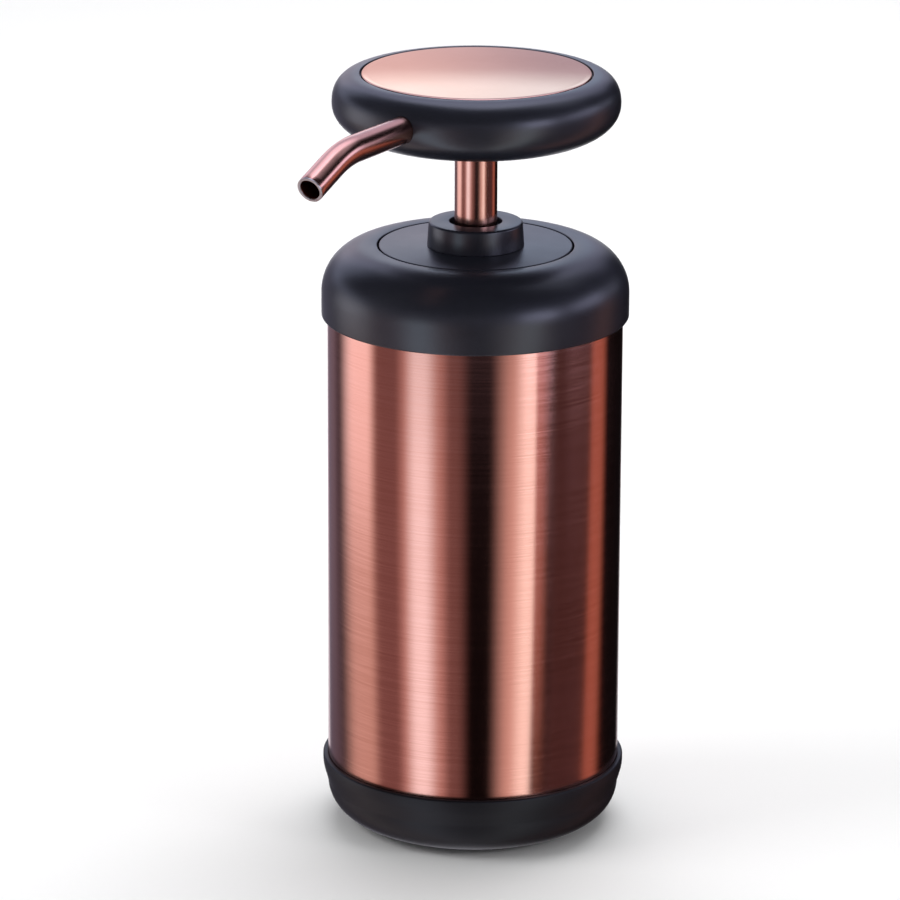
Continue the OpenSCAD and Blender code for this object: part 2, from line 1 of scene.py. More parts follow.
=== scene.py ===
"""Looks of a press-pump soap dispenser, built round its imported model.

Lengths of the pieces are in millimetres, in the dispenser's own frame: Z is the bottle's axis and points
up, the foot stands on Z = 0 and the spout points to -Y. Those of the set, and the finished meshes, are in
metres.
"""

from __future__ import annotations

import json
import logging
import math
from dataclasses import dataclass, field
from enum import Enum
from typing import Callable, Iterable, Sequence

import bmesh
import bpy
from mathutils import Matrix, Vector

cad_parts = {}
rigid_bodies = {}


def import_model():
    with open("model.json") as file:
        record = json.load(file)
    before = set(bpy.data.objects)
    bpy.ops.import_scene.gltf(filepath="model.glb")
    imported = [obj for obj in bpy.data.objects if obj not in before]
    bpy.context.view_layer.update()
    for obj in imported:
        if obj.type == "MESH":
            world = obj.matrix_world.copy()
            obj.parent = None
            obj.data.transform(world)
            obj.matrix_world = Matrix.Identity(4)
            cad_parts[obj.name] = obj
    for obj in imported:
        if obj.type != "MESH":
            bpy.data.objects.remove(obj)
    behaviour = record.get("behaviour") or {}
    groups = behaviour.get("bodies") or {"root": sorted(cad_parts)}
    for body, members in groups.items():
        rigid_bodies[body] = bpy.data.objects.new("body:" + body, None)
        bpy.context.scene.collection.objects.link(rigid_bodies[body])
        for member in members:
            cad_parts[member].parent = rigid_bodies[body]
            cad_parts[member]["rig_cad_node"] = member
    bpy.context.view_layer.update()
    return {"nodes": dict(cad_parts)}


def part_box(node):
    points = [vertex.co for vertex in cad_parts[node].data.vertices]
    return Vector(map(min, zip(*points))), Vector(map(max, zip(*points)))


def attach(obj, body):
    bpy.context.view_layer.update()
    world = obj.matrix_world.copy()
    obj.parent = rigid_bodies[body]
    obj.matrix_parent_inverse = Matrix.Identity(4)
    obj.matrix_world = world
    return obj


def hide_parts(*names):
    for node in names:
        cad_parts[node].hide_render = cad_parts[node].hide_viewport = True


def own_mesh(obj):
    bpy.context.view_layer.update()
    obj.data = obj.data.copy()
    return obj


LOG = logging.getLogger("dispenser")

MM = 0.001
FULL_TURN = 2 * math.pi
SMOOTH_ANGLE = math.radians(32)

# Sides of a turned piece, of one that the camera sees large, and of a drilled hole
AROUND = 192
FINE_AROUND = 256
HOLE_SIDES = 96

# Chords of a rounded corner, and of the rounded edge of a tube
FILLET_STEPS = 5
BEVEL_STEPS = 3

# Largest share of a side of the outline that one fillet takes
FILLET_SHARE = 0.49

# In millimetres: how near a point counts as on the axis, on a thread's wall, and on its neighbour
ON_AXIS = 1e-6
ON_WALL = 0.01
MERGE = 1e-5

# Noise values that give the two ends of a finish's range, since few lie outside them
NOISE_SPAN = (0.3, 0.7)

Colour = tuple[float, float, float, float]
Triple = tuple[float, float, float]
Point = tuple[float, float]
Ring = list[bmesh.types.BMVert]


class Body(str, Enum):
    """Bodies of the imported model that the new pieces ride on."""

    BOTTLE = "bottle"
    PUMP = "pump"
    HEAD = "head"


class Slot(str, Enum):
    """Material slots of the record."""

    BRUSHED_COPPER = "brushed_copper"
    POLISHED_COPPER = "polished_copper"
    BLACK_PLASTIC = "black_plastic"
    CLEAR_PLASTIC = "clear_plastic"
    WHITE_PLASTIC = "white_plastic"
    GREY_PLASTIC = "grey_plastic"
    SEAL_RUBBER = "seal_rubber"
    FOOT_RUBBER = "foot_rubber"
    BRIGHT_STEEL = "bright_steel"


# Outlines and meshes


@dataclass(frozen=True)
class Corner:
    """One corner of a turned outline, in millimetres.

    Args:
        r: Distance from the axis.
        z: Height above the table.
        fillet: Radius that rounds the corner, or 0 for a sharp one.
    """

    r: float
    z: float
    fillet: float = 0.0


def rounded(corners: Sequence[Corner], steps: int = FILLET_STEPS) -> list[Point]:
    """Rounds the corners of a closed outline.

    Args:
        corners: The outline's corners in order.
        steps: Number of chords in a fillet.

    Returns:
        The outline's points as (r, z), in millimetres.
    """
    points: list[Point] = []
    count = len(corners)
    for index, corner in enumerate(corners):
        here = Vector((corner.r, corner.z))
        before = Vector((corners[index - 1].r, corners[index - 1].z)) - here
        after = Vector((corners[(index + 1) % count].r, corners[(index + 1) % count].z)) - here
        if corner.fillet <= 0 or before.length == 0 or after.length == 0:
            points.append((here.x, here.y))
            continue
        half = before.angle(after) / 2
        reach = min(corner.fillet / math.tan(half), FILLET_SHARE * min(before.length, after.length))
        radius = reach * math.tan(half)
        toward = (before.normalized() + after.normalized()).normalized()
        centre = here + toward * (radius / math.sin(half))
        first = here + before.normalized() * reach - centre
        last = here + after.normalized() * reach - centre
        swing = first.angle_signed(last)
        for step in range(steps + 1):
            turned = Matrix.Rotation(-swing * step / steps, 2) @ first
            points.append((centre.x + turned.x, centre.y + turned.y))
    return points


def quarter(r: float, z: float, w: float, h: float, start: float, end: float, square: float = 2.0,
            steps: int = 16) -> list[Corner]:
    """Points along a quarter of a squared-off ellipse.

    Args:
        r: Radius of the ellipse's centre.
        z: Height of the ellipse's centre.
        w: Half width, outward.
        h: Half height, upward, or downward where it is negative.
        start: First angle in degrees, where 0 is the top and 90 the side.
        end: Last angle in degrees.
        square: Exponent of the ellipse, 2 for a true one.
        steps: Number of chords.

    Returns:
        Sharp corners along the curve.
    """
    corners = []
    for step in range(steps + 1):
        angle = math.radians(start + (end - start) * step / steps)
        side = abs(math.sin(angle)) ** (2 / square)
        top = abs(math.cos(angle)) ** (2 / square)
        corners.append(Corner(r + w * side, z + h * top))
    return corners


def smooth(mesh: bpy.types.Mesh, angle: float = SMOOTH_ANGLE) -> None:
    """Shades a mesh smooth between its sharp edges.

    Args:
        mesh: The mesh to shade.
        angle: Edges that bend more than this stay sharp, in radians.
    """
    mesh.polygons.foreach_set("use_smooth", [True] * len(mesh.polygons))
    mesh.set_sharp_from_angle(angle=angle)


def to_scene(name: str, data: bpy.types.ID) -> bpy.types.Object:
    """Makes an object and links it to the scene.

    Args:
        name: Name of the object.
        data: Its mesh, camera or light.

    Returns:
        The new object.
    """
    item = bpy.data.objects.new(name, data)
    bpy.context.scene.collection.objects.link(item)
    return item


def to_mesh(name: str, build: bmesh.types.BMesh) -> bpy.types.Mesh:
    """Writes a bmesh out as a mesh.

    Args:
        name: Name of the new mesh.
        build: The finished bmesh, which is freed.

    Returns:
        The new mesh.
    """
    mesh = bpy.data.meshes.new(name)
    build.to_mesh(mesh)
    build.free()
    return mesh


def to_object(name: str, build: bmesh.types.BMesh) -> bpy.types.Object:
    """Turns a bmesh in millimetres into a smooth object in metres.

    Args:
        name: Name of the new piece.
        build: The finished bmesh, which is freed.

    Returns:
        The new object, linked to the scene.
    """
    bmesh.ops.scale(build, vec=(MM, MM, MM), verts=build.verts)
    bmesh.ops.recalc_face_normals(build, faces=build.faces)
    mesh = to_mesh(name, build)
    smooth(mesh)
    return to_scene(name, mesh)


def lathe(name: str, outline: Sequence[Point], around: int = AROUND,
          relief: Callable[[float, float, float], float] | None = None) -> bpy.types.Object:
    """Turns a closed outline round Z.

    Args:
        name: Name of the new piece.
        outline: Points as (r, z) in millimetres, where r = 0 lies on the axis.
        around: Number of sides.
        relief: Gives what is added to a point's radius, from its radius, height and angle.

    Returns:
        The turned piece.
    """
    build = bmesh.new()
    rings: list[Ring] = []
    for r, z in outline:
        if r < ON_AXIS:
            rings.append([build.verts.new((0, 0, z))])
            continue
        ring = []
        for side in range(around):
            angle = FULL_TURN * side / around
            reach = r + (relief(r, z, angle) if relief else 0.0)
            ring.append(build.verts.new((reach * math.cos(angle), reach * math.sin(angle), z)))
        rings.append(ring)
    join_row(build, rings, closed=True)
    return to_object(name, build)


def join_rings(build: bmesh.types.BMesh, ring: Ring, other: Ring) -> None:
    """Lays faces between two rings, either of which may be a single point.

    Args:
        build: The bmesh that holds both rings.
        ring: The first ring.
        other: The next ring.
    """
    if len(ring) == 1 and len(other) == 1:
        return
    count = max(len(ring), len(other))
    for side in range(count):
        following = (side + 1) % count
        if len(ring) == 1:
            build.faces.new((ring[0], other[following], other[side]))
        elif len(other) == 1:
            build.faces.new((ring[side], ring[following], other[0]))
        else:
            build.faces.new((ring[side], ring[following], other[following], other[side]))


def join_row(build: bmesh.types.BMesh, rings: Sequence[Ring], closed: bool) -> None:
    """Lays faces along a row of rings.

    Args:
        build: The bmesh that holds the rings.
        rings: The rings in order.
        closed: Whether the last ring joins the first; if not, both get a flat cap.
    """
    for ring, other in zip(rings, rings[1:]):
        join_rings(build, ring, other)
    if closed:
        join_rings(build, rings[-1], rings[0])
    else:
        build.faces.new(rings[0])
        build.faces.new(list(reversed(rings[-1])))


def tube(name: str, line: Sequence[Vector], sideways: Vector, outer: float, inner: float, edge: float,
         sides: int = 72) -> bpy.types.Object:
    """Makes an open tube along a line that lies in one plane.

    Args:
        name: Name of the new piece.
        line: Points of the centre line, in millimetres.
        sideways: Unit vector square to the line's plane.
        outer: Outer radius.
        inner: Inner radius.
        edge: Radius of the rounded edges at both ends.
        sides: Number of sides.

    Returns:
        The tube, with its wall closed at both ends.
    """
    build = bmesh.new()
    first = (line[1] - line[0]).normalized()
    last = (line[-1] - line[-2]).normalized()
    turns = [math.radians(90 * step / BEVEL_STEPS) for step in range(BEVEL_STEPS + 1)]
    bevel = [(edge * (1 - math.sin(turn)), edge * (1 - math.cos(turn))) for turn in turns]
    trios = zip(line, line[1:], line[2:])
    middle = [(place, (after - before).normalized()) for before, place, after in trios]
    stations = [(line[0] + first * back, first, outer - inward) for back, inward in reversed(bevel)]
    stations += [(place, along, outer) for place, along in middle]
    stations += [(line[-1] - last * back, last, outer - inward) for back, inward in bevel]
    stations += [(line[-1] - last * back, last, inner + inward) for back, inward in reversed(bevel)]
    stations += [(place, along, inner) for place, along in reversed(middle)]
    stations += [(line[0] + first * back, first, inner + inward) for back, inward in bevel]
    rings = []
    for centre, along, radius in stations:
        up = sideways.cross(along).normalized()
        ring = []
        for side in range(sides):
            turn = FULL_TURN * side / sides
            ring.append(build.verts.new(centre + radius * (math.cos(turn) * sideways + math.sin(turn) * up)))
        rings.append(ring)
    join_row(build, rings, closed=True)
    bmesh.ops.remove_doubles(build, verts=build.verts, dist=MERGE)
    return to_object(name, build)


def ribs(name: str, count: int, first: float, inner: float, outer: float, thick: float, low: float,
         high: float) -> bpy.types.Object:
    """Sets upright ribs in a ring.

    Args:
        name: Name of the new piece.
        count: Number of ribs.
        first: Direction of the first rib in degrees.
        inner: Distance of a rib's inner end from the axis.
        outer: Distance of its outer end.
        thick: Thickness of a rib.
        low: Height of its underside.
        high: Height of its top.

    Returns:
        The ribs as one piece.
    """
    build = bmesh.new()
    for index in range(count):
        rib = bmesh.ops.create_cube(build, size=1.0)["verts"]
        bmesh.ops.scale(build, vec=(outer - inner, thick, high - low), verts=rib)
        bmesh.ops.translate(build, vec=((inner + outer) / 2, 0, (low + high) / 2), verts=rib)
        turn = Matrix.Rotation(math.radians(first + 360 * index / count), 3, "Z")
        bmesh.ops.rotate(build, cent=(0, 0, 0), matrix=turn, verts=rib)
    return to_object(name, build)


def drill(piece: bpy.types.Object, start: Vector, end: Vector, radius: float) -> None:
    """Cuts a round hole through a piece.

    Args:
        piece: The piece to cut.
        start: One end of the hole's axis, in millimetres.
        end: The other end.
        radius: Radius of the hole in millimetres.
    """
    along = end - start
    build = bmesh.new()
    bmesh.ops.create_cone(
        build, cap_ends=True, segments=HOLE_SIDES, radius1=radius, radius2=radius, depth=along.length
    )
    turn = along.to_track_quat("Z", "Y").to_matrix().to_4x4()
    bmesh.ops.transform(build, matrix=Matrix.Translation((start + end) / 2) @ turn, verts=build.verts)
    cutter = to_object("cutter", build)
    cut = piece.modifiers.new("hole", "BOOLEAN")
    cut.operation = "DIFFERENCE"
    cut.solver = "EXACT"
    cut.object = cutter
    shape = piece.evaluated_get(bpy.context.evaluated_depsgraph_get())
    mesh = bpy.data.meshes.new_from_object(shape)
    piece.modifiers.clear()
    piece.data = mesh
    bpy.data.objects.remove(cutter)
    smooth(mesh)


@dataclass(frozen=True)
class Thread:
    """Screw thread round a turned wall.

    Args:
        wall: Radius of the wall that carries it.
        start: Height of its lower end.
        pitch: Rise in one turn.
        turns: Number of turns.
        depth: How far it stands out of the wall, or into the bore where it is negative.
        crest: Half of its width at the crest.
        root: Half of its width at the wall.
        runout: Length of its tapered ends in turns.
    """

    wall: float
    start: float
    pitch: float
    turns: float
    depth: float
    crest: float = 0.25
    root: float = 0.65
    runout: float = 0.08

    def relief(self, r: float, z: float, angle: float) -> float:
        """What the thread adds to a point's radius.

        Args:
            r: Radius of the point.
            z: Height of the point.
            angle: Direction of the point in radians.

        Returns:
            The added radius.
        """
        if abs(r - self.wall) > ON_WALL:
            return 0.0
        most = 0.0
        for turn in range(math.ceil(self.turns) + 1):
            along = angle / FULL_TURN + turn
            away = abs(z - self.start - self.pitch * along)
            ends = min(along, self.turns - along) / self.runout
            share = min((self.root - away) / (self.root - self.crest), 1.0, ends)
            most = max(most, share)
        return self.depth * most


def wall_rows(r: float, start: float, end: float, step: float) -> list[Corner]:
    """Close points up or down a straight wall, which a thread needs.

    Args:
        r: Radius of the wall.
        start: First height.
        end: Last height.
        step: Distance between the points.

    Returns:
        Sharp corners along the wall.
    """
    count = max(1, round(abs(end - start) / step))
    return [Corner(r, start + (end - start) * index / count) for index in range(count + 1)]


@dataclass(frozen=True)
class Span:
    """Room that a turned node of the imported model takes, in millimetres.

    Args:
        radius: Outer radius.
        low: Height of its underside.
        high: Height of its top.
    """

    radius: float
    low: float
    high: float

    @classmethod
    def of(cls, node: str) -> Span:
        """Reads a node's room from the frame.

        Args:
            node: Name of the node.

        Returns:
            Its room.
        """
        low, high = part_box(node)
        return cls(radius=high.x / MM, low=low.z / MM, high=high.z / MM)


# Finishes


class Graph:
    """Builds the nodes of one material or world."""

    def __init__(self, name: str, world: bool = False) -> None:
        """Starts with nothing but an output.

        Args:
            name: Name of the material or world.
            world: Whether it is a world.
        """
        self.owner = bpy.data.worlds.new(name) if world else bpy.data.materials.new(name)
        self.owner.use_nodes = True
        self.tree = self.owner.node_tree
        self.tree.nodes.clear()
        self.output = self.add("ShaderNodeOutputWorld" if world else "ShaderNodeOutputMaterial")

    def feed(self, target: bpy.types.NodeSocket, value: object) -> None:
        """Joins an input socket to another node's output, or sets it to a plain value.

        Args:
            target: The input socket.
            value: The output socket that feeds it, or the plain value.
        """
        if isinstance(value, bpy.types.NodeSocket):
            self.tree.links.new(value, target)
        else:
            target.default_value = value

    def add(self, kind: str, inputs: dict[str, object] | None = None, **settings: object) -> bpy.types.Node:
        """Adds a node.

        Args:
            kind: Blender's name of the node type.
            inputs: Its input sockets by name, each with a plain value or the socket that feeds it.
            settings: Values of its own properties.

        Returns:
            The new node.
        """
        node = self.tree.nodes.new(kind)
        for key, value in settings.items():
            setattr(node, key, value)
        for key, value in (inputs or {}).items():
            self.feed(node.inputs[key], value)
        return node

    def finish(self, shader: bpy.types.NodeSocket) -> bpy.types.ID:
        """Joins the last shader to the output.

        Args:
            shader: Socket with the shader.

        Returns:
            The finished material or world.
        """
        self.feed(self.output.inputs["Surface"], shader)
        return self.owner

    def surface(self, inputs: dict[str, object]) -> bpy.types.Material:
        """Finishes a material with a surface shader.

        Args:
            inputs: Its input sockets by name, each with a plain value or the socket that feeds it.

        Returns:
            The material.
        """
        return self.finish(self.add("ShaderNodeBsdfPrincipled", inputs).outputs["BSDF"])

    def place(self, stretch: Triple = (1.0, 1.0, 1.0)) -> bpy.types.NodeSocket:
        """The object's own coordinates, stretched along each axis.

        Args:
            stretch: Factors for X, Y and Z.

        Returns:
            The socket that carries the coordinates.
        """
        here = self.add("ShaderNodeTexCoord").outputs["Object"]
        return self.add("ShaderNodeMapping", {"Vector": here, "Scale": stretch}).outputs["Vector"]

    def noise(self, where: bpy.types.NodeSocket, scale: float = 1.0, detail: float = 3.0,
              rough: float = 0.55) -> bpy.types.NodeSocket:
        """Noise from 0 to 1.

        Args:
            where: Socket with the coordinates.
            scale: Cycles per metre of the stretched coordinates.
            detail: Number of octaves.
            rough: Share of each octave in the next.

        Returns:
            The socket with the noise.
        """
        inputs = {"Vector": where, "Scale": scale, "Detail": detail, "Roughness": rough}
        return self.add("ShaderNodeTexNoise", inputs).outputs["Fac"]

    def spread(self, value: bpy.types.NodeSocket, low: float, high: float) -> bpy.types.NodeSocket:
        """Maps a noise value onto a range.

        Args:
            value: Socket with the noise.
            low: Lower end of the range.
            high: Upper end of the range.

        Returns:
            The socket with the result.
        """
        span = {"From Min": NOISE_SPAN[0], "From Max": NOISE_SPAN[1], "To Min": low, "To Max": high}
        return self.add("ShaderNodeMapRange", {"Value": value, **span}, clamp=True).outputs["Result"]

    def work_out(self, operation: str, *values: object) -> bpy.types.NodeSocket:
        """Works out one number from others.

        Args:
            operation: Blender's name of the operation.
            values: Plain numbers, or the sockets that feed them.

        Returns:
            The socket with the result.
        """
        node = self.add("ShaderNodeMath", operation=operation)
        for socket, value in zip(node.inputs, values):
            self.feed(socket, value)
        return node.outputs["Value"]

    def blend(self, value: bpy.types.NodeSocket, first: Colour, second: Colour) -> bpy.types.NodeSocket:
        """Mixes two colours.

        Args:
            value: Socket with the share of the second colour.
            first: Colour at 0.
            second: Colour at 1.

        Returns:
            The socket with the colour.
        """
        inputs = {"Factor": value, "A": first, "B": second}
        return self.add("ShaderNodeMix", inputs, data_type="RGBA").outputs["Result"]

    def bump(self, height: bpy.types.NodeSocket, depth_mm: float, strength: float) -> bpy.types.NodeSocket:
        """Turns a height into a normal.

        Args:
            height: Socket with a height from 0 to 1.
            depth_mm: Depth of the relief in millimetres.
            strength: Strength from 0 to 1.

        Returns:
            The socket with the normal.
        """
        inputs = {"Height": height, "Distance": depth_mm * MM, "Strength": strength}
        return self.add("ShaderNodeBump", inputs).outputs["Normal"]


@dataclass(frozen=True)
class BrushedMetal:
    """Metal sheet brushed round the bottle's axis, under a thin lacquer.

    Args:
        name: Name of the material.
        dark: Colour in the brush lines.
        light: Colour between them.
        rough: Lowest and highest roughness.
        stretch: How much the brushing spreads a highlight across the lines.
        stretch_turn: Direction of that spread, in turns from the one round the axis.
        lines: Coarse and fine brush lines per metre of height.
        run: Coarse brush lines per metre along their length; the fine ones are half as long.
        fine_rough: Share of each octave in the next, in the fine lines.
        detail: Octaves of the lines and patches.
        depth_mm: Depth of the lines.
        relief: Strength of their relief.
        patches: Duller patches per metre along X, Y and Z.
        patch_rough: What the patches add to the roughness at most, or take away.
    """

    name: str
    dark: Colour
    light: Colour
    rough: tuple[float, float] = (0.13, 0.21)
    stretch: float = 0.95
    stretch_turn: float = 0.25
    lines: tuple[float, float] = (2600.0, 8000.0)
    run: float = 40.0
    fine_rough: float = 0.7
    detail: float = 2.0
    depth_mm: float = 0.008
    relief: float = 0.35
    patches: Triple = (12.0, 12.0, 30.0)
    patch_rough: float = 0.015

    def make(self) -> bpy.types.Material:
        """Builds the material."""
        graph = Graph(self.name)
        fine_run = self.run * 2
        coarse = graph.noise(graph.place((self.run, self.run, self.lines[0])), detail=self.detail)
        fine = graph.noise(graph.place((fine_run, fine_run, self.lines[1])), detail=self.detail,
                           rough=self.fine_rough)
        patches = graph.noise(graph.place(self.patches), detail=self.detail)
        streaks = graph.work_out("MULTIPLY_ADD", coarse, 0.5, graph.work_out("MULTIPLY", fine, 0.5))
        dulling = graph.spread(patches, -self.patch_rough, self.patch_rough)
        tangent = graph.add("ShaderNodeTangent", direction_type="RADIAL", axis="Z")
        return graph.surface({
            "Base Color": graph.blend(graph.spread(streaks, 0.0, 1.0), self.dark, self.light),
            "Metallic": 1.0,
            "Roughness": graph.work_out("ADD", graph.spread(streaks, *self.rough), dulling),
            "Anisotropic": self.stretch,
            "Anisotropic Rotation": self.stretch_turn,
            "Tangent": tangent.outputs["Tangent"],
            "Normal": graph.bump(streaks, self.depth_mm, self.relief),
        })


@dataclass(frozen=True)
class PlatedMetal:
    """Smooth plated metal with faint polishing marks.

    Args:
        name: Name of the material.
        dark: Colour in the faint stains.
        light: Colour elsewhere.
        rough: Lowest and highest roughness.
        marks: Polishing marks per metre along X, Y and Z.
        stains: Stains per metre.
        depth_mm: Depth of the marks.
        relief: Strength of their relief.
        edge: Tint of what it mirrors at a flat angle.
    """

    name: str
    dark: Colour
    light: Colour
    rough: tuple[float, float]
    marks: Triple = (900.0, 900.0, 120.0)
    stains: float = 90.0
    depth_mm: float = 0.0005
    relief: float = 0.2
    edge: Colour = (1.0, 1.0, 1.0, 1.0)

    def make(self) -> bpy.types.Material:
        """Builds the material."""
        graph = Graph(self.name)
        marks = graph.noise(graph.place(self.marks))
        stains = graph.noise(graph.place((self.stains, self.stains, self.stains)))
        return graph.surface({
            "Base Color": graph.blend(graph.spread(stains, 0.0, 1.0), self.dark, self.light),
            "Metallic": 1.0,
            "Roughness": graph.spread(marks, *self.rough),
            "Specular Tint": self.edge,
            "Normal": graph.bump(marks, self.depth_mm, self.relief),
        })


@dataclass(frozen=True)
class MouldedPlastic:
    """Opaque moulded plastic or rubber with a fine grain.

    Args:
        name: Name of the material.
        dark: Colour in its darker flow marks.
        light: Colour in its lighter flow marks.
        rough: Lowest and highest roughness.
        specular: Level of the reflection.
        flow: Flow marks per metre.
        flow_stretch: Factors for X, Y and Z; along an axis with more than 1 the marks are shorter.
        grain_mm: Size of the grain.
        grain_detail: Octaves of the grain.
        depth_mm: Depth of the grain.
        relief: Strength of its relief.
    """

    name: str
    dark: Colour
    light: Colour
    rough: tuple[float, float]
    specular: float = 0.5
    flow: float = 55.0
    flow_stretch: Triple = (1.0, 1.0, 1.6)
    grain_mm: float = 0.25
    grain_detail: float = 2.0
    depth_mm: float = 0.01
    relief: float = 0.3

    def make(self) -> bpy.types.Material:
        """Builds the material."""
        graph = Graph(self.name)
        grain = graph.noise(graph.place(), 1 / (self.grain_mm * MM), self.grain_detail)
        flow = graph.noise(graph.place(self.flow_stretch), self.flow)
        return graph.surface({
            "Base Color": graph.blend(graph.spread(flow, 0.0, 1.0), self.dark, self.light),
            "Roughness": graph.spread(flow, *self.rough),
            "Specular IOR Level": self.specular,
            "Normal": graph.bump(grain, self.depth_mm, self.relief),
        })


@dataclass(frozen=True)
class CloudyPlastic:
    """Natural plastic that lets light through.

    Args:
        name: Name of the material.
        tint: Colour of the plastic.
        cloud: Colour of its thicker flow lines.
        rough: Lowest and highest roughness.
        through: Share of light that passes.
        ior: Index of refraction.
        flow: Flow lines per metre.
        flow_stretch: Factors for X, Y and Z; along an axis with less than 1 the lines are longer.
        depth_mm: Depth of the lines.
        relief: Strength of their relief.
    """

    name: str
    tint: Colour
    cloud: Colour
    rough: tuple[float, float]
    through: float
    ior: float = 1.5
    flow: float = 120.0
    flow_stretch: Triple = (1.0, 1.0, 0.35)
    depth_mm: float = 0.02
    relief: float = 0.2

    def make(self) -> bpy.types.Material:
        """Builds the material."""
        graph = Graph(self.name)
        flow = graph.noise(graph.place(self.flow_stretch), self.flow)
        return graph.surface({
            "Base Color": graph.blend(graph.spread(flow, 0.0, 1.0), self.tint, self.cloud),
            "Roughness": graph.spread(flow, *self.rough),
            "IOR": self.ior,
            "Transmission Weight": self.through,
            "Normal": graph.bump(flow, self.depth_mm, self.relief),
        })


Finish = BrushedMetal | PlatedMetal | MouldedPlastic | CloudyPlastic

# Each slot's finish, and after the table four finishes that only one piece has
FINISHES: dict[Slot, Finish] = {
    Slot.BRUSHED_COPPER: BrushedMetal(
        "brushed_copper", dark=(0.585, 0.272, 0.203, 1), light=(0.71, 0.36, 0.28, 1)
    ),
    Slot.POLISHED_COPPER: PlatedMetal(
        "polished_copper", dark=(0.62, 0.32, 0.245, 1), light=(0.68, 0.37, 0.29, 1), rough=(0.19, 0.22)
    ),
    Slot.BLACK_PLASTIC: MouldedPlastic(
        "black_plastic", dark=(0.0116, 0.0122, 0.0195, 1), light=(0.0136, 0.0144, 0.0230, 1),
        rough=(0.30, 0.36), specular=0.7
    ),
    Slot.CLEAR_PLASTIC: CloudyPlastic(
        "clear_plastic", tint=(0.86, 0.88, 0.87, 1), cloud=(0.74, 0.77, 0.76, 1),
        rough=(0.28, 0.42), through=0.75
    ),
    Slot.WHITE_PLASTIC: MouldedPlastic(
        "white_plastic", dark=(0.66, 0.66, 0.63, 1), light=(0.74, 0.74, 0.71, 1), rough=(0.4, 0.48)
    ),
    Slot.GREY_PLASTIC: MouldedPlastic(
        "grey_plastic", dark=(0.055, 0.055, 0.06, 1), light=(0.07, 0.07, 0.075, 1), rough=(0.42, 0.5)
    ),
    Slot.SEAL_RUBBER: MouldedPlastic(
        "seal_rubber", dark=(0.34, 0.34, 0.33, 1), light=(0.42, 0.42, 0.40, 1),
        rough=(0.6, 0.7), specular=0.35
    ),
    Slot.FOOT_RUBBER: MouldedPlastic(
        "foot_rubber", dark=(0.012, 0.012, 0.013, 1), light=(0.02, 0.02, 0.021, 1),
        rough=(0.7, 0.8), specular=0.3
    ),
    Slot.BRIGHT_STEEL: PlatedMetal(
        "bright_steel", dark=(0.55, 0.55, 0.56, 1), light=(0.66, 0.66, 0.67, 1), rough=(0.14, 0.22)
    ),
}

SPOUT_FINISH = PlatedMetal(
    "satin_copper_spout", dark=(0.66, 0.335, 0.26, 1), light=(0.71, 0.375, 0.295, 1), rough=(0.2, 0.23),
    marks=(2500.0, 300.0, 2500.0), depth_mm=0.0002
)
# Copper of the disc, painted lighter and paler than the other copper parts: painted light for the bright
# sweep behind, which the disc mirrors.
DISC_PAINTED_LIGHT = PlatedMetal(
    "disc_copper_painted_light", dark=(0.79, 0.47, 0.37, 1), light=(0.82, 0.495, 0.395, 1), rough=(0.055, 0.075),
    edge=(0.75, 0.68, 0.62, 1)
)
# Matte black of the base. Its roughness and weaker reflection are its own, but its colour is painted darker
# than the other black plastic: painted shade against the light that the pale floor throws up onto it.
MATTE_BASE_PAINTED_SHADE = MouldedPlastic(
    "matte_base_painted_shade", dark=(0.0055, 0.006, 0.0085, 1), light=(0.007, 0.0075, 0.0105, 1),
    rough=(0.44, 0.5), specular=0.35
)
CUT_METAL = PlatedMetal(
    "cut_metal", dark=(0.58, 0.57, 0.56, 1), light=(0.70, 0.69, 0.68, 1), rough=(0.25, 0.35)
)


class Paintbox:
    """Makes each finish once and hands it out."""

    def __init__(self) -> None:
        """Makes the material of every slot."""
        self.by_slot = {slot: finish.make() for slot, finish in FINISHES.items()}

    def dress(self, piece: bpy.types.Object, slot: Slot, special: Finish | None = None) -> None:
        """Gives a piece the finish of a slot.

        Args:
            piece: The object to dress.
            slot: The record's slot.
            special: A finish of its own within that slot.
        """
        piece.data.materials.clear()
        piece.data.materials.append(special.make() if special else self.by_slot[slot])


# Sub-assemblies


@dataclass
class SubAssembly:
    """A group of pieces that are built together.

    Args:
        paint: The finishes.
        nodes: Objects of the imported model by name.
    """

    paint: Paintbox
    nodes: dict[str, bpy.types.Object]

    def keep(self, node: str, slot: Slot) -> None:
        """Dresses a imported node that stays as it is.

        Args:
            node: Name of the node.
            slot: The record's slot.
        """
        piece = self.nodes[node]
        smooth(piece.data)
        self.paint.dress(piece, slot)
        LOG.info("kept %s as %s", node, slot.value)

    def put(self, piece: bpy.types.Object, body: Body, slot: Slot, *replaced: str,
            special: Finish | None = None) -> bpy.types.Object:
        """Dresses a new piece and lets it ride on its body.

        Args:
            piece: The new piece.
            body: The body that carries it.
            slot: The record's slot.
            replaced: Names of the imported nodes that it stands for.
            special: A finish of its own within that slot.

        Returns:
            The piece.
        """
        self.paint.dress(piece, slot, special)
        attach(piece, body.value)
        if replaced:
            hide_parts(*replaced)
        LOG.info("built %s on %s", piece.name, body.value)
        return piece


